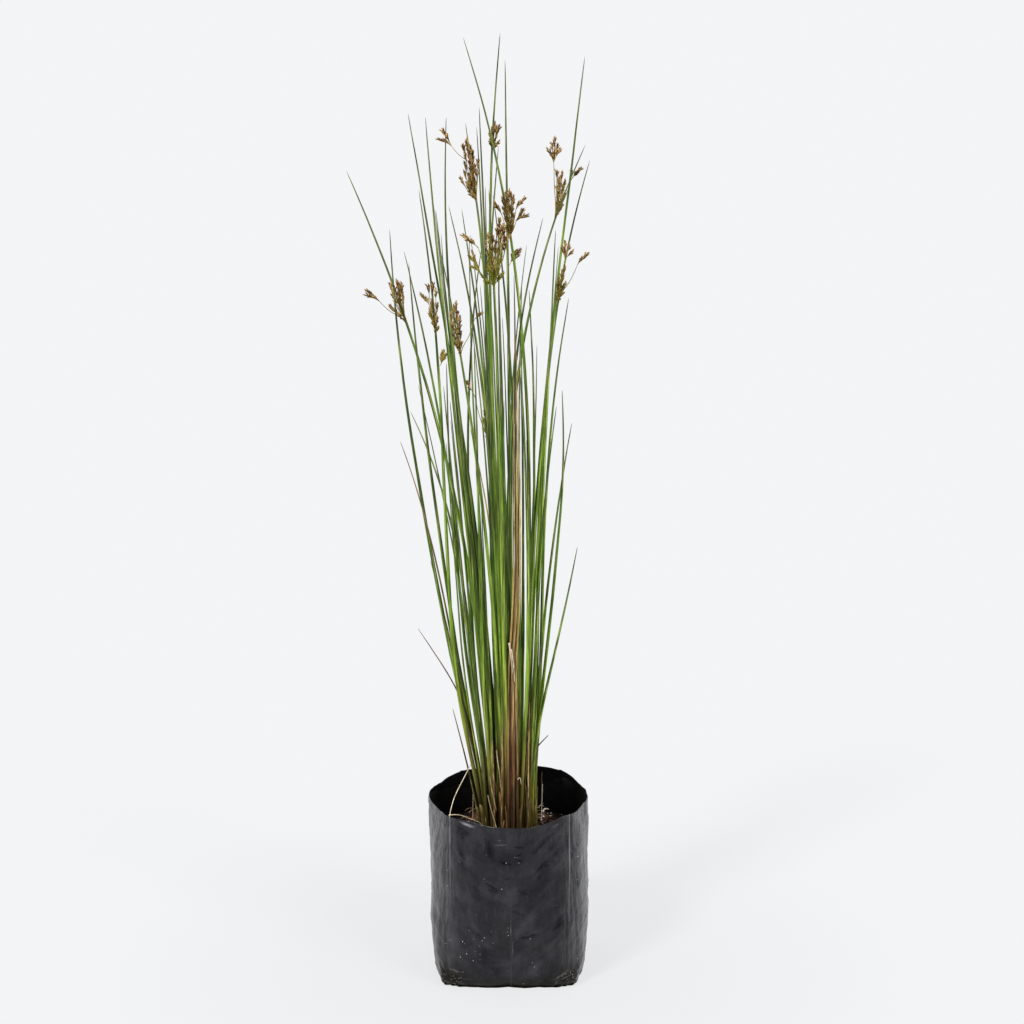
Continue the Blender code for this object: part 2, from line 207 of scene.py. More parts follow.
def growTube(bm, route, reaches, sides, tags=None, flatness=1.0):
    # A round stalk: a circle extruded along a route, with its share along it and its turn kept in layers
    names = ["share", "turn", *(tags or {})]
    layers = {name: bm.verts.layers.float.get(name) or bm.verts.layers.float.new(name) for name in names}
    last = len(route) - 1
    forward = [(route[min(n + 1, last)] - route[max(n - 1, 0)]).normalized() for n in range(last + 1)]
    facing = upward.rotation_difference(forward[0])

    def station(n):
        return Matrix.Translation(route[n]) @ facing.to_matrix().to_4x4() @ Matrix.Scale(reaches[n], 4)

    place = station(0)
    ring = bmesh.ops.create_circle(bm, cap_ends=True, radius=1, segments=sides,
                                   matrix=place @ Matrix.Diagonal((1, flatness, 1, 1)))["verts"]
    face = ring[0].link_faces[0]
    bottom = list(face.edges)
    grown = list(ring)
    for n, corner in enumerate(ring):
        corner[layers["turn"]] = n / sides
        for name in tags or {}:
            corner[layers[name]] = tags[name]
    for n in range(1, last + 1):
        face = bmesh.ops.extrude_discrete_faces(bm, faces=[face])["faces"][0]
        facing = forward[n - 1].rotation_difference(forward[n]) @ facing
        onward = station(n)
        bmesh.ops.transform(bm, matrix=onward @ place.inverted(), verts=face.verts)
        place = onward
        for corner in face.verts:
            corner[layers["share"]] = n / last
            grown.append(corner)
    bmesh.ops.contextual_create(bm, geom=bottom)
    return grown


def wrapUv(bm, lengthScale):
    # The turn round a stalk and the length along it as its UV map
    share = bm.verts.layers.float["share"]
    turn = bm.verts.layers.float["turn"]
    uv = bm.loops.layers.uv.new("skin")
    for face in bm.faces:
        turns = [loop.vert[turn] for loop in face.loops]
        crossesSeam = max(turns) - min(turns) > 0.5
        for loop, around in zip(face.loops, turns):
            loop[uv].uv = (around + (crossesSeam and around < 0.5), loop.vert[share] * lengthScale)


# Finishes

def newFinish(name, **values):
    # A material with its plain values on the shader's own sockets
    finish = bpy.data.materials.new(name)
    finish.use_nodes = True
    shader = finish.node_tree.nodes["Principled BSDF"]
    for socket, value in values.items():
        shader.inputs[socket].default_value = value
    return finish, finish.node_tree, shader


def ramp(tree, factor, stops):
    node = addNode(tree, "ShaderNodeValToRGB", {"Fac": factor})
    elements = node.color_ramp.elements
    while len(elements) < len(stops):
        elements.new(0.5)
    for element, (place, colour) in zip(elements, stops):
        element.position = place
        element.color = (*colour, 1)
    return node.outputs["Color"]


def attribute(tree, name):
    return addNode(tree, "ShaderNodeAttribute", attribute_name=name).outputs["Fac"]


def objectPlace(tree):
    return addNode(tree, "ShaderNodeTexCoord").outputs["Object"]


def blend(tree, factor, one, two):
    # One colour over another, each as three numbers or as a socket
    one, two = ((*colour, 1) if isinstance(colour, tuple) else colour for colour in (one, two))
    return addNode(tree, "ShaderNodeMix", {0: factor, 6: one, 7: two}, data_type="RGBA").outputs[2]


def maths(tree, operation, one, two=0.0):
    return addNode(tree, "ShaderNodeMath", {0: one, 1: two}, operation=operation).outputs[0]


def times(tree, one, two):
    return maths(tree, "MULTIPLY", one, two)


def plus(tree, one, two):
    return maths(tree, "ADD", one, two)


def stretched(tree, source, scale):
    # Coordinates drawn out along one way
    return addNode(tree, "ShaderNodeMapping", {"Vector": source, "Scale": scale}).outputs["Vector"]


def grain(tree, place, scale, detail=3.0, roughness=0.5):
    return addNode(tree, "ShaderNodeTexNoise", {
        "Vector": place, "Scale": scale, "Detail": detail, "Roughness": roughness}).outputs["Fac"]


def spread(tree, value, low, high, least=0.0, most=1.0):
    return addNode(tree, "ShaderNodeMapRange", {
        "Value": value, "From Min": low, "From Max": high, "To Min": least, "To Max": most}).outputs[0]


def raised(tree, shader, height, distance, strength=1.0):
    bump = addNode(tree, "ShaderNodeBump", {"Height": height, "Distance": distance, "Strength": strength})
    tree.links.new(bump.outputs["Normal"], shader.inputs["Normal"])


def colourIn(tree, shader, colour, light=None, lightness=()):
    # The surface's colour, made lighter and darker by a noise where one is given
    if light is not None:
        colour = addNode(tree, "ShaderNodeHueSaturation", {
            "Value": spread(tree, light, *lightness), "Color": colour}).outputs[0]
    tree.links.new(colour, shader.inputs["Base Color"])


def roundStalk(tree, lines, perMetre):
    # Coordinates that close up round a stalk, with so many cells along a metre of it
    uv = addNode(tree, "ShaderNodeSeparateXYZ", {0: addNode(tree, "ShaderNodeTexCoord").outputs["UV"]})
    turn = times(tree, uv.outputs["X"], math.tau)
    return addNode(tree, "ShaderNodeCombineXYZ", {
        "X": times(tree, maths(tree, "COSINE", turn), lines / math.tau),
        "Y": times(tree, maths(tree, "SINE", turn), lines / math.tau),
        "Z": plus(tree, times(tree, uv.outputs["Y"], perMetre), times(tree, attribute(tree, "pick"), 90.0)),
    }).outputs[0]


# Skin of the stems. Patterns: lines round a stem, cells along a metre of it. Ranges: from and to, and
# what they give there
skin = {
    "streaks": (9, 12),
    "streaky": (0.50, 0.70, 0.0, 0.8),
    "blotches": (6, 22),
    "blotchy": (0.46, 0.66, 0.0, 0.85),
    "redFoot": (0.04, 0.23, 1.35, -0.3),    # by share of the length
    "redUneven": (0.3, 0.7, -0.35, 0.35),
    "rust": [(0.3, (0.012, 0.004, 0.002)), (0.5, (0.060, 0.016, 0.004)), (0.72, (0.24, 0.115, 0.038))],
    "patches": (3.0, 12),
    # Painted shade: the stems are darker towards their crowded feet, by share of the length
    "shadedFoot": (0.02, 0.13, -0.30, 0.0),
    "lightness": (0.32, 0.68, 0.34, 1.8),
    "ribs": (34, 6),
    "ribDepth": 0.12 * mm,
}


def skinFinish(name, brightStops, darkStops, streakAndHighlightColour, blotchColour, roughness):
    # Skin of a stem: colour along its length, fine ribs and pale streaks that are partly painted highlights,
    # blotches, a reddened foot and painted shade towards the foot
    finish, tree, shader = newFinish(name, **{"Specular IOR Level": 0.2})
    share = attribute(tree, "share")
    bright, dark = (ramp(tree, share, stops) for stops in (brightStops, darkStops))
    colour = blend(tree, attribute(tree, "tint"), bright, dark)
    streaks = grain(tree, roundStalk(tree, *skin["streaks"]), 1.0, 4.0, 0.65)
    # Pale streaks: partly the stem's fine striations, partly painted highlights
    colour = blend(tree, spread(tree, streaks, *skin["streaky"]), colour, streakAndHighlightColour)
    blotches = grain(tree, roundStalk(tree, *skin["blotches"]), 1.0, 4.0, 0.65)
    colour = blend(tree, spread(tree, blotches, *skin["blotchy"]), colour, blotchColour)
    reddened = plus(tree, spread(tree, share, *skin["redFoot"]), spread(tree, streaks, *skin["redUneven"]))
    reddened = times(tree, attribute(tree, "red"), spread(tree, reddened, 0.0, 0.6))
    colour = blend(tree, reddened, colour, ramp(tree, blotches, skin["rust"]))
    light = grain(tree, roundStalk(tree, *skin["patches"]), 1.0, 2.0)
    # Painted shade: darker towards the crowded feet
    light = plus(tree, light, spread(tree, share, *skin["shadedFoot"]))
    colourIn(tree, shader, colour, light, skin["lightness"])
    sheen = spread(tree, streaks, 0.2, 0.8, roughness - 0.1, roughness + 0.14)
    tree.links.new(sheen, shader.inputs["Roughness"])
    raised(tree, shader, grain(tree, roundStalk(tree, *skin["ribs"]), 1.0, 2.0), skin["ribDepth"], 0.8)
    return finish


# Stems

stemLook = {
    "sides": 10,
    "rings": 44,
    "tipCrowding": 1.35,        # above 1 puts more rings near the tip
    "ringGap": 4 * mm,          # packed points closer in height than this belong to one ring
    "rooted": 8 * mm,           # length that stands in the mix
    "rows": 40,
    "gathered": (131 * mm, 320 * mm),   # heights between which the stems spread freely
    "pull": (0.22, 0.15, 0.07),         # how far their feet are drawn in: left, right and in depth
    "loose": (29,),                     # stems that stand apart
    "tipReach": 0.12 * mm,
    "taper": 0.45,
    "slimmer": (12 * mm, 45 * mm, 0.05),    # stems that lean out are slimmer: from, to, by this share
    "wander": (0.35 * mm, 14),  # how far a stem strays from its packed axis, bends to a metre
    "swell": (0.05, 30),        # by how much of its radius it swells, swellings to a metre
    "bright": (1, 2, 4, 6, 8, 15, 17, 35, 43, 46),
    "dark": (3, 5, 7, 10, 13, 18, 20, 22, 24, 28, 29, 38, 42, 44),
    "straw": (30, 48),
    "brown": (25, 28, 29, 41),
    "brightTint": (0.0, 0.15),
    "middleTint": (0.2, 0.6),
    "darkTint": (0.75, 1.0),
    "redCentre": (-1 * mm, -4 * mm),    # the reddest feet stand about here
    "redShape": (0.9, 0.6),             # below 1 lets the red reach further across or in depth
    "redReach": 20 * mm,
}

# Slender shoots that stand between two packed stems: both stems, share of the way, top and foot radius
# in millimetres
greenRows = (
    (8, 17, 0.5, 640, 1.3), (9, 18, 0.45, 690, 1.3), (10, 19, 0.5, 655, 1.5), (2, 9, 0.5, 735, 1.5),
    (10, 41, 0.45, 650, 1.5), (1, 38, 0.5, 660, 1.5), (2, 3, 0.5, 700, 1.4), (45, 42, 0.4, 610, 1.3),
    (19, 44, 0.5, 590, 1.3), (6, 7, 0.5, 700, 1.4), (7, 5, 0.5, 715, 1.3), (22, 6, 0.45, 540, 1.2),
    (12, 13, 0.35, 560, 1.1), (38, 41, 0.6, 600, 1.3), (4, 40, 0.5, 690, 1.3), (1, 46, 0.5, 520, 1.3),
    (43, 8, 0.45, 690, 1.4), (3, 37, 0.5, 680, 1.3), (11, 9, 0.5, 640, 1.3), (8, 44, 0.5, 600, 1.1),
    (17, 15, 0.4, 560, 1.1), (43, 17, 0.5, 620, 1.2), (43, 38, 0.4, 560, 1.1), (2, 18, 0.6, 600, 1.2),
    (10, 8, 0.5, 620, 1.2), (1, 4, 0.5, 600, 1.2), (45, 9, 0.35, 600, 1.2), (3, 37, 0.6, 590, 1.2),
    (38, 41, 0.35, 560, 1.2), (22, 15, 0.45, 520, 1.2), (38, 1, 0.35, 540, 1.4), (38, 1, 0.7, 610, 1.3),
    (41, 1, 0.5, 575, 1.4), (9, 18, 0.4, 560, 1.2), (8, 19, 0.5, 600, 1.1), (2, 10, 0.6, 640, 1.2),
    (11, 9, 0.5, 570, 1.2),
)
brownRows = ((44, 10, 0.4, 300, 1.3), (40, 46, 0.5, 260, 1.2))

# Dead stems at the front of the tussock: points in millimetres, foot radius, finish, how dark
deadRows = (
    ([(0, -28.5, 131), (-0.1, -30, 160), (-0.4, -33, 220), (-0.4, -35, 250), (0.2, -38, 305),
      (2.6, -40, 342), (4.3, -42, 375), (5, -44, 410), (4.8, -50, 500), (5, -57, 580)], 1.2, "straw", 0.1),
    ([(4.6, -28.5, 131), (4.6, -30, 160), (4.4, -33, 220), (4.2, -35, 250), (4, -38, 305), (5.6, -40, 342),
      (7.4, -42, 375), (8, -44, 410), (7.6, -50, 500), (7.4, -58, 600)], 1.8, "straw", 0.5),
    ([(8.6, -28.5, 131), (8.5, -30, 160), (8, -33, 220), (7.6, -35, 250), (6.8, -38, 305), (8.6, -40, 342),
      (10.4, -42, 375), (10.8, -44, 410), (10, -50, 500), (9.6, -55, 560)], 1.3, "straw", 0.0),
    ([(2.4, -26.5, 131), (1.9, -31, 220), (1.8, -33, 250), (2, -36, 305), (4, -38, 342), (5.8, -40, 400)],
      1.5, "straw", 1.0),
    ([(6.6, -26.5, 131), (6.2, -31, 220), (6, -33, 250), (5.5, -36, 305), (7.2, -38, 360)],
      1.2, "straw", 1.0),
    ([(-6, -30.5, 131), (-5.9, -32, 180), (-5.4, -36, 250)], 1.3, "straw", 0.9),
    ([(-12.5, -28, 131), (-13.4, -30, 180), (-15, -33, 235)], 1.2, "straw", 1.0),
    ([(17.5, -22, 131), (18, -24, 180), (19.5, -29, 270)], 1.1, "straw", 0.8),
    ([(-14, -26, 131), (-14.6, -28, 180), (-16, -32, 250), (-19, -38, 340), (-24, -44, 460)],
      1.5, "green", 0.8),
    ([(-9, -22, 131), (-9.8, -24, 190), (-11.5, -28, 260), (-14, -33, 340), (-17, -38, 450)],
      1.4, "green", 0.6),
)


def packedAxis(number):
    # Place and radius of a packed stem, from the foot up
    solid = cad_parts[f"rush_stem_{number:02d}"]
    points = {tuple(round(value, 7) for value in corner.co) for corner in solid.data.vertices}
    points = sorted(points, key=lambda point: point[2])
    rings = [[points[0]]]
    for point in points[1:]:
        if point[2] - rings[-1][-1][2] > stemLook["ringGap"]:
            rings.append([])
        rings[-1].append(point)
    packed = []
    for ring in rings:
        middle = np.mean(ring, axis=0)
        packed.append((*middle, float(np.mean([math.dist(point, middle) for point in ring]))))
    packed = np.array(packed)
    # Packed stems stand clear of each other, while these ones touch at their feet
    rows = []
    for height in np.linspace(packed[0, 2], packed[-1, 2], stemLook["rows"]):
        place = stemPlace(packed, float(height))
        held = 0 if number in stemLook["loose"] else 1 - smoothStep(height, *stemLook["gathered"])
        left, right, inward = stemLook["pull"]
        rows.append([place.x * (1 - held * (left if place.x < 0 else right)), place.y * (1 - held * inward),
                     height, np.interp(height, packed[:, 2], packed[:, 3])])
    return np.array(rows)


def stemPlace(axis, height):
    level = np.array(height)
    return Vector([float(smoothThrough(axis[:, 2], axis[:, side], level)) for side in (0, 1)] + [height])


def stemReach(axis, height):
    left = max(0.0, 1 - (height - axis[0, 2]) / (axis[-1, 2] - axis[0, 2]))
    return stemLook["tipReach"] + (axis[0, 3] - stemLook["tipReach"]) * left ** stemLook["taper"]


def footRedness(axis):
    across, deep = ((axis[0, side] - stemLook["redCentre"][side]) * stemLook["redShape"][side]
                    for side in (0, 1))
    return hump(math.hypot(across, deep), stemLook["redReach"])


def growStem(bm, axis, number, tint):
    foot = axis[0, 2] - stemLook["rooted"]
    wander, bends = stemLook["wander"]
    swell, swellings = stemLook["swell"]
    near, far, slimmer = stemLook["slimmer"]
    route = []
    reaches = []
    for n in range(stemLook["rings"] + 1):
        share = 1 - (1 - n / stemLook["rings"]) ** stemLook["tipCrowding"]
        height = foot + (axis[-1, 2] - foot) * share
        drift = noise.noise_vector(Vector((number * 7.3, 0, height * bends))) * wander
        route.append(stemPlace(axis, height) + Vector((drift.x, drift.y, 0)))
        fuller = 1 + swell * noise.noise(Vector((number * 3.1, 5, height * swellings)))
        fuller -= slimmer * smoothStep(abs(route[-1].x), near, far)
        reaches.append(stemReach(axis, min(height, axis[-1, 2])) * fuller)
    tags = {"tint": tint, "pick": number * 0.618 % 1, "red": footRedness(axis)}
    growTube(bm, route, reaches, stemLook["sides"], tags)


def dressStem(number, axis, finishes):
    dice = random.Random(number)
    tone = next((name for name in ("bright", "dark") if number in stemLook[name]), "middle")
    kind = next((name for name in ("straw", "brown") if number in stemLook[name]), "green")
    bm = bmesh.new()
    growStem(bm, axis, number, dice.uniform(*stemLook[tone + "Tint"]))
    wrapUv(bm, 1.0)
    putPiece(f"rushStem{number:02d}", bm, [finishes[kind]], [f"rush_stem_{number:02d}"])


def growShoots(axes, finishes):
    # The slender shoots of one finish make one piece
    dice = random.Random(60)
    shootRows = [(*row, "green") for row in greenRows] + [(*row, "brown") for row in brownRows]
    for kind in ("green", "straw", "brown"):
        bm = bmesh.new()
        for number, (one, two, share, top, reach, finish) in enumerate(shootRows, 61):
            if finish == kind:
                one, two = axes[one - 1], axes[two - 1]
                rows = [(*stemPlace(one, height).lerp(stemPlace(two, height), share), reach * mm)
                        for height in np.linspace(one[0, 2], top * mm, 9)]
                growStem(bm, np.array(rows), number, dice.random())
        for number, (points, reach, finish, tint) in enumerate(deadRows, 101):
            if finish == kind:
                rows = [(*(value * mm for value in point), reach * mm) for point in points]
                growStem(bm, np.array(rows), number, tint)
        wrapUv(bm, 1.0)
        putPiece(f"{kind}Shoots", bm, [finishes[kind]])


# Finishes of the stems: colours from the foot to the tip of a bright and of a dark one, streaks that
# are partly painted highlights, blotches, roughness
stemFinishRows = {
    "green": ("rushGreen", [
        (0.0, (0.042, 0.026, 0.005)), (0.05, (0.080, 0.078, 0.009)), (0.12, (0.20, 0.235, 0.022)),
        (0.28, (0.155, 0.265, 0.018)), (0.58, (0.108, 0.205, 0.014)), (0.8, (0.068, 0.105, 0.028)),
        (0.95, (0.052, 0.066, 0.036)), (1.0, (0.25, 0.19, 0.11))], [
        (0.0, (0.028, 0.020, 0.004)), (0.06, (0.044, 0.056, 0.006)), (0.2, (0.046, 0.098, 0.006)),
        (0.55, (0.027, 0.060, 0.011)), (0.8, (0.029, 0.044, 0.022)), (0.96, (0.038, 0.044, 0.030)),
        (1.0, (0.14, 0.11, 0.08))], (0.52, 0.57, 0.15), (0.018, 0.042, 0.003), 0.42),
    "straw": ("rushStraw", [
        (0.0, (0.028, 0.009, 0.004)), (0.08, (0.078, 0.030, 0.012)), (0.2, (0.20, 0.115, 0.042)),
        (0.42, (0.31, 0.215, 0.072)), (0.6, (0.46, 0.36, 0.16)), (0.8, (0.52, 0.42, 0.19)),
        (1.0, (0.28, 0.21, 0.13))], [
        (0.0, (0.012, 0.004, 0.002)), (0.12, (0.034, 0.010, 0.004)), (0.3, (0.060, 0.022, 0.006)),
        (0.5, (0.13, 0.070, 0.018)), (0.75, (0.30, 0.21, 0.075)), (1.0, (0.17, 0.125, 0.075))],
        (0.60, 0.48, 0.22), (0.10, 0.045, 0.012), 0.6),
    "brown": ("rushBrown", [
        (0.0, (0.040, 0.026, 0.005)), (0.2, (0.10, 0.105, 0.012)), (0.45, (0.115, 0.110, 0.016)),
        (0.65, (0.17, 0.085, 0.045)), (0.85, (0.22, 0.13, 0.085)), (1.0, (0.16, 0.11, 0.07))], [
        (0.0, (0.022, 0.014, 0.004)), (0.2, (0.055, 0.065, 0.008)), (0.5, (0.060, 0.055, 0.010)),
        (0.7, (0.075, 0.038, 0.024)), (1.0, (0.12, 0.08, 0.055))],
        (0.36, 0.25, 0.12), (0.030, 0.012, 0.005), 0.6),
}


# Flower heads

florets = {
    "stalk": 0.38 * mm,
    "stalkTip": 0.25 * mm,
    "stalkSides": 4,
    "stalkGreener": 0.4,
    "branchRings": 14,
    "tuftRings": 8,
    "buried": 4 * mm,           # a branch starts this far below where it leaves the stem
    "bends": (0.12, 0.45, 0.75, 1.0),   # shares of its rise that its route goes through
    "tuftDepth": 0.3,           # how far tufts turn forwards or back, by their rise
    "broom": 10,                # florets that spread from the end of a branch
    "spacing": (0.7, 1.1),
    "broomReach": 6.5 * mm,     # length of branch on which they stand
    "shortened": 3.6 * mm,      # how far the florets reach past their branch
    "length": 2.25 * mm,        # scale of a floret, which is 2.2 of these long
    "size": (0.8, 1.25),
    "lean": (8, 34),            # degrees away from the branch
    "upright": 0.1,
    "gap": 0.3 * mm,
    "belly": 2.3 * mm,
    "depth": 8 * mm,
    "bow": 0.10,                # how far a branch bows, by its reach across
    "front": -1,
    "back": 1,
    # A floret in its own scale
    "capsule": (0.22, 4.1, 0.95),   # radius, how much longer than wide, height of its middle
    "tepals": 6,
    "tepal": (0.16, 2.2, 0.6),      # radius, length, flatness
    "shorter": 0.45,                # by which every second one is shorter
    "tepalPlace": (0.19, 0.08),     # distance from the middle, lean
    "shades": (0.2, 0.45, 0.95),    # capsule, foot of a tepal, its tip
    "tints": (0.4, 1.2),            # how much greener or browner one floret is than the next
    "greenHeight": 60 * mm,
}

# Each head: stem, height of its foot, side of the stem, how green it still is, the tips of its brooms
# of florets, then its tufts with the fork of each and the tips; sideways and up from the foot in
# millimetres
headRows = (
    (12, 616, "front", 0.1,
     ((-14, 36), (-8, 38), (-3, 36), (-12, 30), (-6, 29), (-2, 27), (-12, 25), (-2, 24), (-15, 16),
      (-11, 12), (-7, 9), (-10, 33), (-6, 34), (-9, 28), (-4, 31), (-8, 24)),
     (((-23, 19), ((-35, 30), (-32, 27), (-36, 25), (-29, 24))),)),
    (15, 620, "front", 0.3,
     ((-6, 45), (-2, 46), (1, 41), (-3, 31), (2, 28), (-4, 25), (-1, 21), (2, 17), (-3, 15), (1, 12), (4, 8),
      (0, 6), (-5, 20)),
     (((-5, 26), ((-13, 37), (-11, 34), (-8, 32))),)),
    (17, 606, "front", 0.2,
     ((-3, 48), (-5, 44), (-2, 41), (-8, 39), (-3, 35), (-7, 31), (0, 29), (-4, 26), (1, 22), (-3, 19),
      (-6, 20), (2, 13), (-1, 10), (1, 6), (0, 35), (-2, 15), (-5, 13)),
     (((13, 32), ((20, 38),)),)),
    (8, 737, "front", 0.05,
     ((-8, 54), (-11, 49), (-5, 49), (-3, 45), (-10, 43), (-6, 40), (2, 37), (-1, 34), (-10, 34), (-5, 31),
      (1, 28), (-11, 27), (-6, 24), (-14, 21), (-1, 20), (-9, 17), (-5, 14), (-7, 9), (-3, 8),
      (-7, 46), (-5, 36), (-3, 40), (-3, 30), (-4, 26), (-7, 20), (-5, 19)),
     ()),
    (2, 770, "front", 0.15,
     ((7, 23), (3, 24), (-2, 18), (5, 18), (1, 16), (-2, 11), (3, 11), (7, 9), (4, 6), (5, 21), (0, 21)), ()),
    (1, 699, "front", 0.2,
     ((-1, 43), (-4, 41), (3, 38), (-7, 36), (-2, 34), (2, 31), (-6, 28), (-2, 26), (3, 22), (-5, 20),
      (-1, 17), (3, 13), (-4, 11), (0, 8), (1, 40), (-4, 31), (1, 27), (-3, 23), (2, 18),
      (-5, 34), (2, 35), (-1, 30)),
     (((5, 25), ((14, 36), (11, 33), (8, 30))), ((5, 14), ((12, 25), (16, 20), (10, 20))),
      ((-7, 20), ((-14, 32), (-11, 27))))),
    (43, 667, "front", 0.6,
     ((-5, 47), (-1, 45), (-7, 41), (-3, 38), (1, 36), (-5, 32), (-1, 28), (2, 25), (-5, 22), (5, 60),
      (8, 56), (3, 52), (9, 50), (6, 46), (2, 42), (8, 41), (4, 35), (7, 29), (11, 40), (13, 47), (-2, 20),
      (3, 13), (10, 44), (9, 14), (7, 11), (-13, 11), (-9, 6), (-6, 19), (3, 20), (-4, 26), (6, 52)),
     (((-13, 34), ((-28, 46), (-25, 44), (-21, 41))), ((-12, 13), ((-19, 31), (-21, 27), (-17, 24))),
      ((-12, 13), ((-20, 19), (-16, 20))))),
    (37, 707, "back", 0.1,
     ((1, 41), (6, 40), (3, 34), (9, 32), (1, 28), (7, 27), (3, 22), (9, 20), (6, 16), (1, 14), (7, 10),
      (3, 6), (5, 37), (4, 29), (6, 23), (4, 12)),
     (((-2, 47), ((-1, 70), (-4, 65), (2, 64), (-8, 60), (4, 60), (-3, 56), (0, 59))),
      ((13, 31), ((23, 43), (20, 40), (14, 41))))),
    (4, 640, "front", 0.35,
     ((3, 22), (7, 24), (9, 19), (2, 16), (6, 14), (8, 10), (2, 8), (5, 5), (8, 32), (6, 28), (5, 18),
      (4, 12)),
     (((8, 38), ((8, 55), (12, 51), (15, 46), (5, 49), (9, 46))),
      ((19, 33), ((29, 44), (26, 41), (23, 39))))),
    (3, 658, "back", 0.1, (), (((3, 4), ((12, 15), (9, 15), (11, 10), (5, 13), (7, 8))),)),
)
# Small late tufts, on stems that have no head of their own there
lateRows = (
    (19, 517, "front", 0.8,
     ((-4, 31), (0, 30), (-5, 24), (-2, 22), (2, 24), (-4, 16), (0, 14), (-2, 9)),
     (((-12, 42), ((-20, 56),)),)),
    (15, 588, "front", 0.4, (), (((3, 5), ((5, 17), (8, 15), (6, 11), (3, 11))),)),
    (8, 768, "front", 0.05, (), (((-17, 17), ((-25, 31), (-22, 28), (-29, 23), (-24, 22))),)),
)


def floretShape():
    # One floret: a slender capsule held by pointed tepals
    bm = bmesh.new()
    shade = bm.verts.layers.float.new("shade")
    dark, middle, pale = florets["shades"]
    radius, lengthened, height = florets["capsule"]
    capsule = bmesh.ops.create_icosphere(bm, subdivisions=1, radius=radius)["verts"]
    bmesh.ops.transform(bm, verts=capsule,
                        matrix=Matrix.Translation((0, 0, height)) @ Matrix.Diagonal((1, 1, lengthened, 1)))
    for corner in capsule:
        corner[shade] = dark
    radius, longest, flatness = florets["tepal"]
    away, lean = florets["tepalPlace"]
    for n in range(florets["tepals"]):
        tepal = bmesh.ops.create_cone(bm, segments=3, radius1=radius, radius2=0, depth=1)["verts"]
        length = longest - florets["shorter"] * (n % 2)
        turned = Matrix.Rotation(math.tau * n / florets["tepals"], 4, "Z")
        place = (turned @ Matrix.Translation((away, 0, length / 2)) @ Matrix.Rotation(lean, 4, "Y")
                 @ Matrix.Diagonal((flatness, 1.0, length, 1)))
        bmesh.ops.transform(bm, matrix=place, verts=tepal)
        for corner in tepal:
            corner[shade] = middle if corner.co.z < 1 else pale
    return meshOf("floret", bm)


def addFloret(bm, shape, place, facing, size, tags):
    first = len(bm.verts)
    bm.from_mesh(shape)
    bm.verts.ensure_lookup_table()
    corners = bm.verts[first:]
    spun = Matrix.Rotation(tags["pick"] * math.tau, 3, "Z").to_quaternion()
    turn = upward.rotation_difference(facing) @ spun
    bmesh.ops.transform(bm, matrix=Matrix.LocRotScale(place, turn, Vector((size, size, size))), verts=corners)
    for name, value in tags.items():
        layer = bm.verts.layers.float[name]
        for corner in corners:
            corner[layer] = value


def branchRoute(axis, row, tip, number, shortened=florets["shortened"]):
    # The branch bows out of the stem's skin and up to its tip
    across, rise = (value * mm - value * shortened / math.hypot(*tip) for value in tip)
    side = florets[row[2]]
    height = row[1] * mm
    foot = stemPlace(axis, height)
    away = florets["depth"] * ((number + 1) * 0.618 % 1)
    start = Vector((0, side * stemReach(axis, height) * 0.5, 0))
    points = [stemPlace(axis, height - florets["buried"]) + start]
    for share in florets["bends"]:
        level = height + rise * share
        beside = stemReach(axis, level) + florets["gap"] + 1.15 * florets["belly"] * min(1, share * 3)
        bow = florets["bow"] * math.sin(math.pi * share) * across
        points.append(Vector((foot.x + across * share + bow,
                              stemPlace(axis, level).y + side * (beside + away * share), level)))
    return smoothRoute(points, florets["branchRings"])


def growStalk(bm, row, route, dice):
    last = len(route) - 1
    thinner = florets["stalkTip"] - florets["stalk"]
    reaches = [florets["stalk"] + thinner * n / last for n in range(last + 1)]
    green = min(1, row[3] + florets["stalkGreener"])
    growTube(bm, route, reaches, florets["stalkSides"], {"shade": 0.5, "pick": dice.random(), "green": green})


def growBranch(bm, row, route, number, shape, dice):
    # A thin stalk that ends in a broom of florets
    growStalk(bm, row, route, dice)
    last = len(route) - 1
    length = sum((b - a).length for a, b in zip(route, route[1:]))
    reach = min(florets["broomReach"], 0.6 * length)
    for n in range(florets["broom"]):
        back = reach * n / florets["broom"] * dice.uniform(*florets["spacing"])
        spot = last * (1 - back / length)
        k = min(int(spot), last - 1)
        along = (route[k + 1] - route[k]).normalized()
        sideways = along.orthogonal().normalized()
        sideways.rotate(Matrix.Rotation(n * goldenTurn + number, 3, along))
        # The last floret stands nearly straight
        lean = math.radians(dice.uniform(*florets["lean"])) * (0.3 if n == 0 else 1)
        facing = along * math.cos(lean) + sideways * math.sin(lean) + upward * florets["upright"]
        place = route[k].lerp(route[k + 1], spot - k)
        size = florets["length"] * dice.uniform(*florets["size"])
        # The foot of a head is the greenest
        height = (place.z - row[1] * mm) / florets["greenHeight"]
        green = max(0.0, row[3] * (1.7 - 2.4 * height)) * dice.uniform(*florets["tints"])
        tags = {"pick": dice.random(), "green": min(1, green)}
        addFloret(bm, shape, place, facing.normalized(), size, tags)


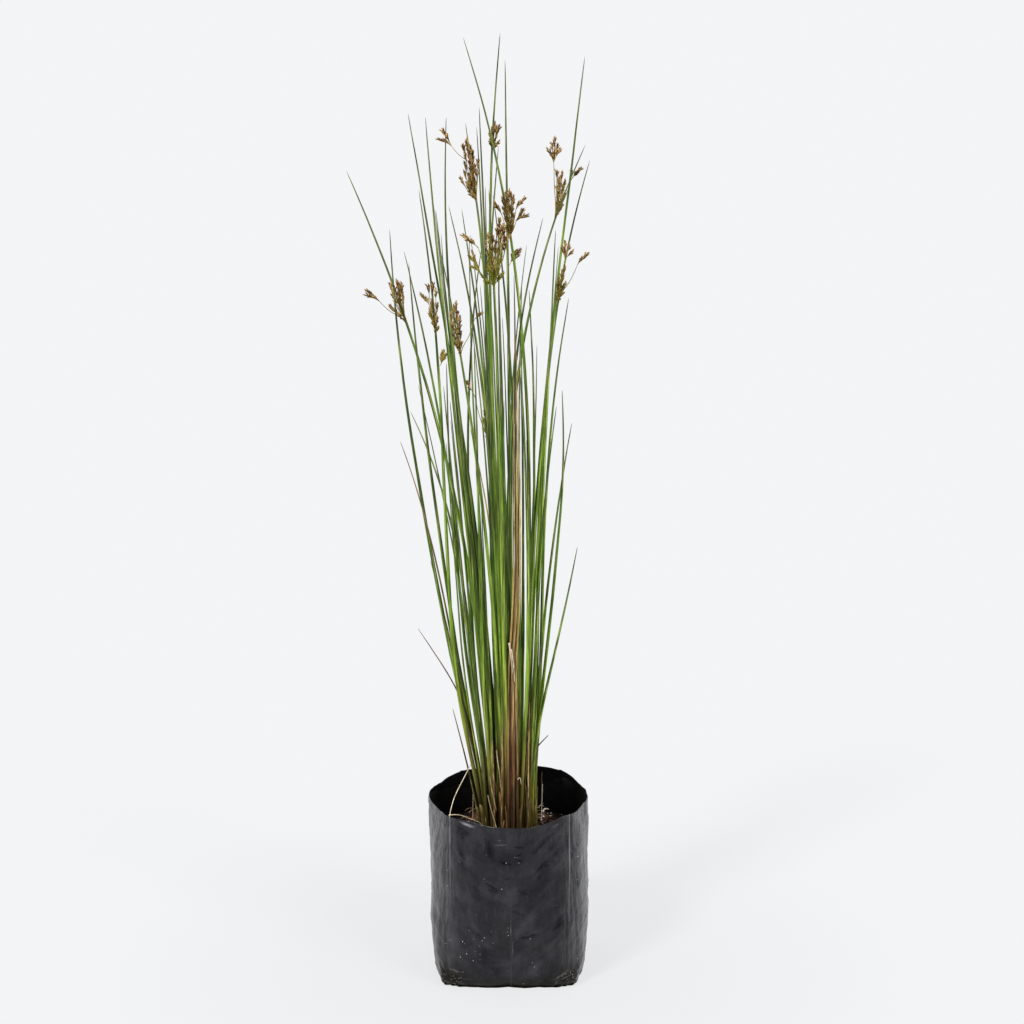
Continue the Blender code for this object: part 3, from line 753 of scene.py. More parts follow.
def dressHead(name, rows, axes, shape, finish, replaced=()):
    dice = random.Random(name)
    bm = bmesh.new()
    for layer in ("share", "turn", "shade", "pick", "green"):
        bm.verts.layers.float.new(layer)
    for row in rows:
        axis = axes[row[0] - 1]
        for number, tip in enumerate(row[4]):
            growBranch(bm, row, branchRoute(axis, row, tip, number), number, shape, dice)
        for number, (fork, tips) in enumerate(row[5]):
            stalk = branchRoute(axis, row, fork, number, 0)
            growStalk(bm, row, stalk, dice)
            for tip in tips:
                across, rise = ((end - start) * mm for end, start in zip(tip, fork))
                turned = dice.uniform(-florets["tuftDepth"], florets["tuftDepth"])
                full = Vector((across, turned * rise, rise))
                full *= max(0.3, 1 - florets["shortened"] / full.length)
                points = [stalk[-1], stalk[-1] + full * 0.5 + upward * 0.05 * full.length, stalk[-1] + full]
                growBranch(bm, row, smoothRoute(points, florets["tuftRings"]), number, shape, dice)
    wrapUv(bm, 0.05)
    putPiece(name, bm, [finish], replaced)


flowerTones = [(0.1, (0.015, 0.006, 0.002)), (0.38, (0.050, 0.022, 0.006)), (0.58, (0.19, 0.098, 0.026)),
               (0.82, (0.62, 0.42, 0.17))]
flowerGreen = (0.21, 0.215, 0.022)


def flowerFinish():
    finish, tree, shader = newFinish("flowerBrown", **{"Roughness": 0.65, "Specular IOR Level": 0.14})
    grit = grain(tree, objectPlace(tree), 900, 3.0)
    tone = plus(tree, times(tree, attribute(tree, "shade"), 0.5), times(tree, attribute(tree, "pick"), 0.5))
    tone = plus(tree, tone, spread(tree, grit, 0.3, 0.7, -0.18, 0.18))
    colourIn(tree, shader, blend(tree, attribute(tree, "green"), ramp(tree, tone, flowerTones), flowerGreen))
    raised(tree, shader, grit, 0.1 * mm, 0.5)
    return finish


# Planter bag

bag = {
    "film": 0.4 * mm,
    # Level curves: height, half width, half depth, squareness of the corners, then how far the left
    # and the right side bulge past that curve
    "sections": ((0, 67, 57.5, 6.5, -1.0, 2.4), (2.5, 68.1, 59.6, 6.2, -1.5, 2.4),
                 (8, 69.6, 62.2, 5.4, -2.0, 2.0), (20, 72, 66, 4.2, -2.6, 1.3),
                 (36, 72.9, 68.7, 3.6, -2.5, 1.2), (55, 74, 72, 3.0, -0.8, 1.3),
                 (85, 74.5, 73.6, 2.7, -2.0, -0.3), (114, 75, 75, 2.5, -1.8, -1.3),
                 (133, 75, 75.3, 2.4, -2.0, 0), (166, 75, 76, 2.3, 0, 0)),
    # A quarter of the foot's outline, from the side to the front
    "foot": ((67, 0), (67.3, 14), (66.8, 24), (63.8, 39), (61.8, 49), (60.6, 53.0), (54, 56.0), (46, 57.3),
             (28, 57.8), (0, 57.6)),
    "footReach": 26 * mm,
    # Mouth of the bag as turn in degrees and reach in millimetres
    "mouth": ((-156, 70.5), (-135.5, 75.0), (-118, 74.0), (-96, 76.2), (-75, 76.2), (-61, 72.8), (-49, 73.0),
              (-40, 75.5), (-20, 71.5), (-2, 73.0), (15, 76.0), (30, 76.5), (52.6, 84.0), (90, 76.0),
              (124.3, 80.5), (148, 75.5), (172, 75.5)),
    "mouthFade": 45 * mm,
    # Folded edges of the film, which run upright: across in millimetres, side of the bag
    "creases": ((-53.5, -1), (56.0, -1), (50.5, 1), (-46.0, 1)),
    "cornerRise": (0.8, 2.2, 0.5, 1.0),     # how far the rim stands up at each folded edge, millimetres
    "cornerWidth": 13 * mm,
    "rimLifts": ((-118, 2.2, 17), (70, 2.4, 30)),   # raised stretches of rim: turn, rise, reach
    "rimWaves": ((0.8, 4, 3), (0.35, 14, 9)),       # rise, fineness, seed
    "rimFrom": 0.75,                                # share of the height above which all these set in
    "frontStep": 1.3,                       # degrees between the columns of the film
    "backStep": 2.3,
    "fineStep": 0.55,                       # the same beside a folded edge
    "fineReach": 4.5,
    "levels": 132,
    # Dents of the front: across, height, half width, half height, lean in degrees, depth
    "dents": ((-1.5, 132.5, 5, 1.9, -20, 1.8), (-14, 106, 6, 1.9, -34, 2.2), (21.5, 57.5, 9, 1.8, 17, 1.9),
              (47.5, 72.5, 7.5, 2.0, 42, 2.0), (28.5, 117, 4.5, 1.8, 45, 1.8), (43, 163, 8, 2.6, 15, 1.8),
              (-42, 158.5, 8, 2.2, -22, 1.0), (-22, 148, 4, 13, 25, 1.4), (26, 146, 12, 3.4, 50, 1.3),
              (34, 100, 16, 2.6, 42, 1.5), (-38, 96, 3, 14, 20, 1.4), (8, 84, 16, 3, -20, 1.3),
              (-30, 62, 14, 2.6, -35, 1.5), (34, 36, 12, 2.6, 30, 1.5), (-8, 24, 18, 2.6, 4, 1.2),
              (38, 132, 14, 2.2, 48, 1.4), (-42, 128, 12, 2.4, -44, 1.3), (-28, 118, 9, 2.2, -50, 1.3),
              (6, 44, 10, 2.2, 30, 1.4), (-22, 84, 9, 2.2, 38, 1.4), (14, 104, 9, 2.2, -30, 1.3),
              (0, 118, 12, 2.0, 14, 1.1), (-36, 44, 10, 2.0, 24, 1.2), (46, 50, 10, 2.0, 52, 1.3)),
    "bulge": (-36, 163.5, 8, 2.6, -10, -0.5),
    "reach": 77 * mm,                       # mean distance of the film from the middle
    "crowding": 0.06,                       # the levels stand closer together at the foot and the rim
    "baseRings": (0.97, 0.85, 0.7, 0.8, 0.6, 0.4),      # each is so much smaller than the last
    "atSide": (40 * mm, 68 * mm),
    "offMiddle": (8 * mm, 45 * mm),
    "slack": (118 * mm, 160 * mm),
    "atFoot": (4 * mm, 34 * mm),
    "slant": 0.7,                           # fall of the slanting folds, by the distance across
    "slantLength": 1.22,                    # length of such a fold, by the same
    # Folded edges: height and half width of the ridge, depth and half width of the valleys beside it,
    # and the heights between which they grow
    "ridge": (0.7, 0.8 * mm),
    "valleys": (0.55, 6 * mm),
    "creased": (80 * mm, 150 * mm),
    # Folded lower corners: depth and number of the pleats, and how much the corner is pressed in
    "pleats": (2.3, 5.5),
    "pressed": (1.8, 9 * mm, 12 * mm),
    "cornerReach": 15 * mm,
    "cornerHeight": 9 * mm,
}

# Waves of the film: where they are measured, how fine they are on each axis, sharpness and level of the
# ridges, then depth in millimetres: everywhere, and added at the sides, off the middle, where the film
# is slack and at the foot
filmWaves = (
    ("body", (17, 17, 17), 0, 0, 1.2, 0, 0, 0, 0),
    ("puckered", (42, 42, 34), 4, 0.5, 0.42, 0, 0, 0.2, 0.3),
    ("slanting", (62, 13, 34), 6, 0.4, 0.22, 0, 0.5, 0, 0),
    ("body", (95, 95, 80), 3, 0.4, 0.26, 0, 0, 0, 0),
    ("body", (210, 210, 170), 0, 0, 0.13, 0, 0, 0, 0),
    ("round", (5.5, 5.5, 7), 0, 0, 0.4, 0.45, 0, 0, 0),
    ("round", (21, 21, 14), 0, 0, 0.08, 0.22, 0, 0, 0),
    ("body", (18, 18, 90), 0, 0, 0.12, 0, 0, 0, 0.5),
)


@functools.cache
def sectionAt(height):
    heights, *columns = zip(*bag["sections"])
    return [float(np.interp(height / mm, heights, column)) for column in columns]


def squareReach(turn, halfWidth, halfDepth, squareness):
    east = abs(math.cos(turn)) / (halfWidth * mm)
    north = abs(math.sin(turn)) / (halfDepth * mm)
    return (east ** squareness + north ** squareness) ** (-1 / squareness)


def bagReach(turn, height):
    *curve, left, right = sectionAt(height)
    reach = squareReach(turn, *curve)
    reach += (left if math.cos(turn) < 0 else right) * mm * math.cos(turn) ** 2
    if height < bag["footReach"]:
        # The foot has straight edges and sharp corners
        quarter = math.atan2(abs(math.sin(turn)), abs(math.cos(turn)))
        corners = [(math.atan2(depth, across), math.hypot(across, depth) * mm)
                   for across, depth in bag["foot"]]
        sharper = float(np.interp(quarter, *zip(*corners))) / squareReach(turn, *sectionAt(0)[:3])
        reach *= 1 + (sharper - 1) * (1 - smoothStep(height, 0, bag["footReach"]))
    turns, reaches = zip(*bag["mouth"])
    mouth = float(np.interp(math.degrees(turn), turns, reaches, period=360)) * mm
    return reach + (mouth - reach) * smoothStep(height, bagTop - bag["mouthFade"], bagTop)


@functools.cache
def creaseTurn(number, height):
    # Where an upright folded edge meets the level curve, in degrees
    across, side = bag["creases"][number]
    left = math.pi
    right = 0.0
    for n in range(20):     # halvings
        turn = (left + right) / 2
        if bagReach(side * turn, height) * math.cos(turn) < across * mm:
            left = turn
        else:
            right = turn
    return math.degrees(side * turn)


def arcFrom(turn, degrees):
    # Signed distance round the bag from a turn, in metres
    return math.radians((math.degrees(turn) - degrees + 180) % 360 - 180) * bag["reach"]


def dentDepth(across, height, dent):
    x, z, halfWidth, halfHeight, lean, depth = dent
    cosine, sine = math.cos(math.radians(lean)), math.sin(math.radians(lean))
    east, up = across / mm - x, height / mm - z
    return depth * mm * hump(math.hypot((east * cosine + up * sine) / halfWidth,
                                        (up * cosine - east * sine) / halfHeight), 1)


def wavy(place, fineness, sharpness, level):
    swell = noise.noise(Vector([along * fine for along, fine in zip(place, fineness)]))
    return (1 - abs(swell)) ** sharpness - level if sharpness else swell


def filmRelief(turn, height, place):
    # How far the film stands proud of its even outline
    x, y, z = place
    slant = bag["slant"]
    steep = bag["slantLength"]
    atFoot = 1 - smoothStep(height, *bag["atFoot"])
    where = (smoothStep(abs(x), *bag["atSide"]), smoothStep(abs(x), *bag["offMiddle"]),
             smoothStep(height, *bag["slack"]), atFoot)
    fields = {
        "body": place,
        "puckered": (x + 3 / 42, y + 7 / 42, z),
        "slanting": ((z - slant * abs(x)) / steep, (abs(x) + slant * z) / steep, x),
        "round": (math.cos(turn), math.sin(turn), height),
    }
    relief = 0.0
    for field, fineness, sharpness, level, depth, *added in filmWaves:
        depth += sum(more * share for more, share in zip(added, where))
        relief += depth * mm * wavy(fields[field], fineness, sharpness, level)
    if y < 0:
        for dent in (*bag["dents"], bag["bulge"]):
            relief -= dentDepth(x, height, dent)
    ridge, ridgeReach = bag["ridge"]
    valleys, valleyReach = bag["valleys"]
    depth, number = bag["pleats"]
    pressed, pressedReach, pressedHeight = bag["pressed"]
    creased = 0.1 + 0.9 * smoothStep(height, *bag["creased"])
    for fold in range(len(bag["creases"])):
        arc = arcFrom(turn, creaseTurn(fold, height))
        relief += creased * (ridge * hump(arc, ridgeReach) - valleys * hump(arc, valleyReach)) * mm
        # Folded lower corner: pleats spread from the fold
        up = height - bag["cornerHeight"]
        reach = math.hypot(arc, 1.2 * up)
        spoke = math.atan2(up, arc + 1 * mm)
        pleats = abs(math.sin(number * spoke + 1.3 * fold)) - 0.6
        relief += depth * mm * pleats * hump(reach, bag["cornerReach"]) * smoothStep(reach, 0, 4 * mm)
        relief -= pressed * mm * hump(arc, pressedReach) * (1 - smoothStep(height, 0, pressedHeight))
    return relief


def filmPoint(turn, height, inset=0.0):
    reach = bagReach(turn, height)
    place = Vector((reach * math.cos(turn), reach * math.sin(turn), height))
    reach += filmRelief(turn, height, place) - inset
    return Vector((reach * math.cos(turn), reach * math.sin(turn), height))


def columnTurns():
    # Turns of the film's columns, closer together beside a folded edge
    folds = [creaseTurn(n, height) for n in range(len(bag["creases"]))
             for height in (0, 0.6 * bagTop, bagTop)]
    turns = [-180.0]
    while turns[-1] < 180:
        beside = min(abs((turns[-1] - fold + 180) % 360 - 180) for fold in folds)
        plain = bag["frontStep"] if turns[-1] < 0 else bag["backStep"]
        turns.append(turns[-1] + (bag["fineStep"] if beside < bag["fineReach"] else plain))
    return [math.radians(turn) for turn in turns if turn < 179]


def extrudeRing(bm, edges):
    # The next ring of a wall: its edges and its points
    grown = bmesh.ops.extrude_edge_only(bm, edges=edges)["geom"]
    return ([item for item in grown if isinstance(item, bmesh.types.BMEdge)],
            [item for item in grown if isinstance(item, bmesh.types.BMVert)])


def startRing(bm, sides, **settings):
    # The first ring of a wall, with each point's number in a layer
    column = bm.verts.layers.int.new("column")
    ring = bmesh.ops.create_circle(bm, segments=sides, radius=1, **settings)["verts"]
    for n, point in enumerate(ring):
        point[column] = n
    return column, ring, list({edge for point in ring for edge in point.link_edges})


def rimWave(turn):
    # How far the rim stands up, in metres
    wave = 0.0
    for rise, fineness, seed in bag["rimWaves"]:
        wave += rise * noise.noise(Vector((math.cos(turn) * fineness, math.sin(turn) * fineness, seed)))
    for number, rise in enumerate(bag["cornerRise"]):
        wave += rise * hump(arcFrom(turn, creaseTurn(number, bagTop)), bag["cornerWidth"])
    for turned, rise, reach in bag["rimLifts"]:
        wave += rise * hump(arcFrom(turn, turned), reach * mm)
    return wave * mm


def makeBag(finishes):
    turns = columnTurns()
    folds = range(len(bag["creases"]))
    bm = bmesh.new()
    corner = bm.verts.layers.float.new("corner")
    column, ring, edges = startRing(bm, len(turns))
    base = list(edges)
    for n in range(bag["levels"] + 1):
        if n:
            edges, ring = extrudeRing(bm, edges)
        share = n / bag["levels"]
        height = bagTop * (share - bag["crowding"] * math.sin(math.tau * share))
        for point in ring:
            turn = turns[point[column]]
            point.co = filmPoint(turn, height)
            point.co.z += rimWave(turn) * smoothStep(share, bag["rimFrom"], 1.0)
            arcs = [arcFrom(turn, creaseTurn(fold, height)) for fold in folds]
            point[corner] = max(hump(math.hypot(arc, height - bag["cornerHeight"]), bag["cornerReach"])
                                for arc in arcs)
    # The flat base, in rings towards its middle
    for smaller in bag["baseRings"]:
        base, ring = extrudeRing(bm, base)
        bmesh.ops.scale(bm, vec=(smaller, smaller, 1), verts=ring)
    bmesh.ops.contextual_create(bm, geom=base)
    bmesh.ops.recalc_face_normals(bm, faces=bm.faces)
    flatBase = min(bm.faces, key=lambda face: face.calc_center_median().z)
    if flatBase.normal.z > 0:
        bmesh.ops.reverse_faces(bm, faces=bm.faces)
    piece = putPiece("filmBag", bm, finishes, ["planter_bag"])
    wall = piece.modifiers.new("filmWall", "SOLIDIFY")
    wall.thickness = bag["film"]
    wall.offset = -1
    wall.use_rim = True
    wall.material_offset = 1


filmLook = {
    "colour": (0.0085, 0.0080, 0.0108),
    # Pale patches of painted sheen on the crumpled film
    "paintedSheen": (0.034, 0.032, 0.038),
    "scratch": (0.075, 0.073, 0.078),
    # Painted reflection of the bright surroundings on the sides
    "sideReflection": (0.17, 0.168, 0.172),     # the pale streaks of the sides
    "footShade": (0.001, 0.001, 0.001),
    # Dried soil, darkened as painted shade, in the folded corners and low down
    "grimeAndShade": (0.010, 0.009, 0.0045),
    # Painted highlights on the wrinkles of the folded corners
    "wrinkleHighlights": (0.20, 0.19, 0.16),
    "dust": (0.50, 0.49, 0.47),
    "crease": (0.15, 0.15, 0.155),
    # Painted highlight below the left front rim
    "paintedHighlight": (0.50, 0.52, 0.55),
    # Painted shadows in the creases and dents of the front
    "paintedCreaseShadow": (0.0012, 0.0012, 0.0014),
    # Painted glints on the front
    "paintedGlint": (0.13, 0.13, 0.13),
    "mottle": (55, 15, 26),             # soft slanting patches: across them, along them, sideways
    "mottleShare": 0.6,                 # the rest is cloudy
    "crinkles": 130,
    # Pale lines of the front: across and heights between which they fade in, in millimetres, strength
    "lines": ((-53.5, 80, 150, 0.9), (56.0, 62, 130, 0.9), (2.4, 95, 60, 0.12)),
    "lineWidth": (0.75 * mm, 0.2 * mm),
    # Where most of the white specks lie on the front: across, height, reach in millimetres
    "dusty": ((-39, 42, 14), (-34, 28, 9), (21, 24, 9), (-48, 13, 6), (-10, 149, 5), (9, 136, 6),
              (54, 16, 7), (1, 62, 5)),
    "specks": 500,                      # cells to a metre, of which few hold a speck
    "speckRarity": (0.988, 0.34),       # anywhere, and by how much less in the dusty places
    "raggedness": 700,
}

# A painted highlight, painted shadows in creases and painted glints of the front: across, height, half
# width, half height in millimetres, lean; then how strong they are
filmMarks = {
    "paintedHighlight": ([(-38, 164.6, 5.0, 1.3, -9)], 0.48),
    "paintedCreaseShadow": ([(-14.5, 107, 7, 1.3, -34), (9, 147, 4.5, 0.9, -10), (8.5, 139, 3.6, 0.9, 32),
                  (10, 134, 3, 0.9, -25), (-4.5, 131.5, 4, 1.3, -25), (14, 56, 4.5, 1.4, 4),
                  (22.5, 58, 3.5, 1.4, 25), (46.5, 66, 6, 1.8, 37), (-17, 144, 3, 9, 15),
                  (30, 126, 8, 1.8, 48), (-43, 136, 2, 5, 20)], 0.66),
    "paintedGlint": ([(-6.5, 149.5, 4.5, 0.5, 4), (2.2, 64, 0.5, 4, 0), (4, 44, 0.4, 9, 0),
                  (-50, 19, 5, 0.8, -12), (49, 14, 7, 0.9, 33), (52, 11, 6, 0.7, 24)], 0.5),
}

# Noises of the film: fineness on each axis, detail, roughness
filmGrains = {
    "cloudy": ((26, 26, 18), 4.0, 0.6),
    "smear": ((75, 75, 30), 5.0, 0.65),
    "scratch": ((900, 900, 45), 2.0, 0.7),      # mostly upright
    "sideStreaks": ((330, 330, 14), 4.0, 0.65),
    "wrinkles": ((240, 240, 560), 3.0, 0.6),
    "patchy": ((20, 20, 90), 3.0, 0.5),
    "crumple": ((95, 95, 75), 3.0, 0.55),
}

# Where each look sets in: from and to, and what it gives there
filmRanges = {
    "smeared": (0.42, 0.7),
    "mottled": (0.38, 0.6),
    "scratched": (0.64, 0.75, 0.0, 0.45),
    "reflectionSides": (46 * mm, 74 * mm),
    "reflectionStreaks": (0.4, 0.66),
    "reflectionHigher": (0.0, 120 * mm, 0.25, 0.85),
    "reflectionFront": (-30 * mm, 0.0, 1.0, 0.0),
    "reflectionPatches": (0.38, 0.62, 0.12, 0.6),
    "foot": (5.5 * mm, 2.6 * mm),
    "grimeAndShadeFoot": (17 * mm, 7 * mm, 0.0, 0.6),
    "grimeAndShadePatches": (0.3, 0.55, 0.6, 1.0),
    "wrinkles": (0.60, 0.70, 0.0, 0.8),
    "wrinkleHighlightCorners": (0.45, 0.9),
    "speckSizes": (0.0, 1.0, 0.08, 0.26),
    "speckStrengths": (0.0, 1.0, 0.25, 1.0),
    "linePatches": (0.3, 0.6, 0.35, 1.0),
    "ragged": (0.3, 0.7, -0.35, 0.35),
    "gloss": (0.36, 0.62, 0.14, 0.38),
    "cloudySheen": (0.3, 0.7, 0.17, 0.30),
    "smearedSheen": (0.4, 0.75, 0.0, 0.12),
}


def ranged(tree, name, value):
    return spread(tree, value, *filmRanges[name])


def dustSpecks(tree, body, flat):
    # Small white specks, close together in a few places of the front
    near = 0.0
    for across, height, reach in filmLook["dusty"]:
        distance = addNode(tree, "ShaderNodeVectorMath", {0: flat, 1: (across * mm, 0, height * mm)},
                           operation="DISTANCE").outputs["Value"]
        near = maths(tree, "MAXIMUM", near, spread(tree, distance, reach * 1.5 * mm, reach * 0.4 * mm))
    cells = addNode(tree, "ShaderNodeTexVoronoi", {"Vector": body, "Scale": filmLook["specks"]}).outputs
    luck, size, strength = addNode(tree, "ShaderNodeSeparateColor", {"Color": cells["Color"]}).outputs
    rarity, lessRare = filmLook["speckRarity"]
    chosen = maths(tree, "GREATER_THAN", luck, maths(tree, "SUBTRACT", rarity, times(tree, near, lessRare)))
    inside = maths(tree, "LESS_THAN", cells["Distance"], ranged(tree, "speckSizes", size))
    return times(tree, times(tree, chosen, inside), ranged(tree, "speckStrengths", strength))


def foldLine(tree, x, z, patchy, row):
    # A pale line up the front, clearer towards the rim
    middle, faint, clear, strength = row
    away = maths(tree, "ABSOLUTE", maths(tree, "SUBTRACT", x, middle * mm))
    line = spread(tree, away, *filmLook["lineWidth"], 0.0, strength)
    line = times(tree, line, spread(tree, z, faint * mm, clear * mm, 0.08, 1.0))
    return times(tree, line, ranged(tree, "linePatches", patchy))


def markedPlaces(tree, flat, ragged, rows, strength):
    # Ragged oval marks
    marked = 0.0
    for middle, height, wide, high, lean in rows:
        turned = addNode(tree, "ShaderNodeMapping", {
            "Vector": flat, "Location": (middle * mm, 0, height * mm), "Scale": (wide * mm, 1, high * mm),
            "Rotation": (0, math.radians(-lean), 0)}, vector_type="TEXTURE").outputs[0]
        off = addNode(tree, "ShaderNodeVectorMath", {0: turned}, operation="LENGTH").outputs["Value"]
        inside = spread(tree, plus(tree, off, ragged), 1.5, 0.1, 0.0, strength)
        marked = maths(tree, "MAXIMUM", marked, inside)
    return marked


def filmFinish():
    finish, tree, shader = newFinish("blackFilm", **{"Specular IOR Level": 0.26})
    body = objectPlace(tree)
    x, y, z = addNode(tree, "ShaderNodeSeparateXYZ", {0: body}).outputs
    flat = addNode(tree, "ShaderNodeCombineXYZ", {"X": x, "Z": z}).outputs[0]
    corner = attribute(tree, "corner")
    across = maths(tree, "ABSOLUTE", x)
    isFront = maths(tree, "LESS_THAN", y, 0.0)
    cloudy, smear, scratch, sideStreaks, wrinkles, patchy, crumple = (
        grain(tree, stretched(tree, body, scale), 1.0, *rest) for scale, *rest in filmGrains.values())
    # Painted sheen: soft pale patches slant down from both sides to the middle
    down = maths(tree, "SUBTRACT", z, times(tree, across, bag["slant"]))
    along = plus(tree, across, times(tree, z, bag["slant"]))
    slanted = addNode(tree, "ShaderNodeCombineXYZ", {"X": down, "Y": along, "Z": x}).outputs[0]
    mottle = grain(tree, stretched(tree, slanted, filmLook["mottle"]), 1.0, 4.0, 0.6)
    share = filmLook["mottleShare"]
    mottle = plus(tree, times(tree, mottle, share), times(tree, cloudy, 1 - share))
    sheenPatches = times(tree, ranged(tree, "smeared", smear), ranged(tree, "mottled", mottle))
    # Painted reflection: the sides are lighter in upright streaks, less so towards the back
    sideReflection = times(tree, ranged(tree, "reflectionSides", across), ranged(tree, "reflectionStreaks", sideStreaks))
    sideReflection = times(tree, sideReflection, ranged(tree, "reflectionHigher", z))
    patches = maths(tree, "MAXIMUM", ranged(tree, "reflectionFront", y), ranged(tree, "reflectionPatches", cloudy))
    low = ranged(tree, "foot", z)
    # Soil has dried on in the folded corners and low down, which are also darkened there as painted shade;
    # the corners' pale wrinkles are painted highlights
    grimedAndShaded = maths(tree, "MAXIMUM", corner, ranged(tree, "grimeAndShadeFoot", z))
    grimedAndShaded = times(tree, grimedAndShaded, ranged(tree, "grimeAndShadePatches", smear))
    # Painted highlights on the corner wrinkles
    wrinkleHighlights = times(tree, ranged(tree, "wrinkles", wrinkles), ranged(tree, "wrinkleHighlightCorners", corner))
    ragged = ranged(tree, "ragged", grain(tree, body, filmLook["raggedness"], 3.0))
    marks = {name: times(tree, markedPlaces(tree, flat, ragged, *rows), isFront)
             for name, rows in filmMarks.items()}
    colour = filmLook["colour"]
    for name, share in (
        ("paintedSheen", times(tree, sheenPatches, 0.9)),
        ("scratch", ranged(tree, "scratched", scratch)),
        ("sideReflection", times(tree, sideReflection, patches)),
        ("footShade", low),
        ("grimeAndShade", grimedAndShaded),
        ("wrinkleHighlights", wrinkleHighlights),
        ("dust", dustSpecks(tree, body, flat)),
        *(("crease", times(tree, foldLine(tree, x, z, patchy, row), isFront)) for row in filmLook["lines"]),
        *marks.items(),
    ):
        colour = blend(tree, share, colour, filmLook[name])
    colourIn(tree, shader, colour)
    dull = maths(tree, "MAXIMUM", maths(tree, "MAXIMUM", low, marks["paintedCreaseShadow"]), times(tree, grimedAndShaded, 0.7))
    gloss = times(tree, ranged(tree, "gloss", mottle), maths(tree, "SUBTRACT", 1.0, dull))
    tree.links.new(gloss, shader.inputs["Specular IOR Level"])
    sheen = plus(tree, ranged(tree, "cloudySheen", cloudy), ranged(tree, "smearedSheen", smear))
    tree.links.new(sheen, shader.inputs["Roughness"])
    crinkle = addNode(tree, "ShaderNodeTexNoise", {
        "Vector": stretched(tree, body, (1, 1, 0.7)), "Scale": filmLook["crinkles"], "Detail": 4.0,
        "Roughness": 0.6, "Distortion": 0.5}, noise_type="RIDGED_MULTIFRACTAL").outputs["Fac"]
    relief = plus(tree, plus(tree, crinkle, times(tree, scratch, 0.4)), times(tree, crumple, 5.0))
    raised(tree, shader, relief, 0.3 * mm, 0.8)
    return finish


def shadedFilmInsideFinish():
    # The inner side is clean, and painted darker as shade
    finish, tree, shader = newFinish("shadedBlackFilmInside", **{"Specular IOR Level": 0.22})
    body = objectPlace(tree)
    smear = grain(tree, stretched(tree, body, (60, 60, 24)), 1.0, 4.0, 0.6)
    colourIn(tree, shader, blend(tree, spread(tree, smear, 0.5, 0.75), (0.0032, 0.0030, 0.0034),
                                 (0.010, 0.008, 0.007)))
    tree.links.new(spread(tree, smear, 0.3, 0.7, 0.38, 0.55), shader.inputs["Roughness"])
    raised(tree, shader, grain(tree, body, 130, 4.0), 0.2 * mm, 0.7)
    return finish


# Potting mix

mix = {
    "sides": 144,
    # Height in millimetres of each ring of the wall, and how far it stands from the film
    "wall": ((1.2, 4), (20, 3), (70, 3), (112, 3), (121, 2)),
    "top": 131 * mm,
    "topInset": 1.3 * mm,
    "edgeDrop": 4.5 * mm,
    "rings": 36,
    "lump": 3.4 * mm,
    "lumps": ((0.6, 60), (0.3, 150), (0.16, 380)),      # share of that height, fineness
    "crown": 34 * mm,
    "crownRise": 3 * mm,
    # Litter beside the stems: across, depth, reach in millimetres, number of chips
    "litter": ((-31, 42, 8, 70), (32, 42, 8, 90), (-30, -30, 12, 50), (28, -34, 12, 50)),
    "reach": 72 * mm,
    "darkChips": 360,
    "chip": ((1.4, 4.6), (0.35, 0.7), (0.5, 1.4)),      # length, width by the length, thickness
    "grit": 22,
    "gritSize": (0.5, 1.4),
    "gritPlace": ((32, 7), (44, 9)),        # every second one: across and deep, each with its spread
    "fibres": 80,
    "fibreLength": (4, 13),
    "fibreReach": (0.12, 0.3),
}


def mixHeight(x, y, inside):
    place = Vector((x, y, 0))
    lumps = sum(share * noise.noise(place * fineness) for share, fineness in mix["lumps"])
    rise = mix["crownRise"] * (1 - smoothStep(math.hypot(x, y), 0.5 * mix["crown"], 1.3 * mix["crown"]))
    return mix["top"] + mix["lump"] * (lumps - 0.35) + rise - mix["edgeDrop"] * smoothStep(inside, 0.6, 1.0)


def makeMix(finish):
    bm = bmesh.new()
    column, ring, edges = startRing(bm, mix["sides"], cap_ends=True)
    rows = [(height * mm, inset * mm, 1.0) for height, inset in mix["wall"]]
    rows += [(mix["top"], mix["topInset"], 1 - n / mix["rings"]) for n in range(mix["rings"])]
    for n, (height, inset, share) in enumerate(rows):
        if n:
            edges, ring = extrudeRing(bm, edges)
        for point in ring:
            wall = filmPoint(math.tau * point[column] / mix["sides"], height, inset)
            x, y = wall.x * share, wall.y * share
            point.co = (x, y, mixHeight(x, y, share) if height == mix["top"] else height)
    bmesh.ops.contextual_create(bm, geom=edges)
    bmesh.ops.recalc_face_normals(bm, faces=bm.faces)
    putPiece("pottingMix", bm, [finish], ["potting_mix"])


def mixFinish():
    finish, tree, shader = newFinish("darkMix", **{"Specular IOR Level": 0.12, "Roughness": 0.95})
    body = objectPlace(tree)
    crumbs = addNode(tree, "ShaderNodeTexVoronoi", {"Vector": body, "Scale": 420.0}).outputs
    tone = addNode(tree, "ShaderNodeSeparateColor", {"Color": crumbs["Color"]}).outputs["Red"]
    colour = ramp(tree, tone, [(0.0, (0.004, 0.003, 0.002)), (0.7, (0.011, 0.007, 0.005)),
                               (0.94, (0.030, 0.016, 0.009)), (1.0, (0.08, 0.045, 0.025))])
    damp = spread(tree, grain(tree, body, 55, 3.0), 0.35, 0.6, 0.0, 0.8)
    colourIn(tree, shader, blend(tree, damp, colour, (0.004, 0.003, 0.002)))
    height = maths(tree, "SUBTRACT", grain(tree, body, 700, 4.0), crumbs["Distance"])
    raised(tree, shader, height, 0.6 * mm, 0.8)
    return finish


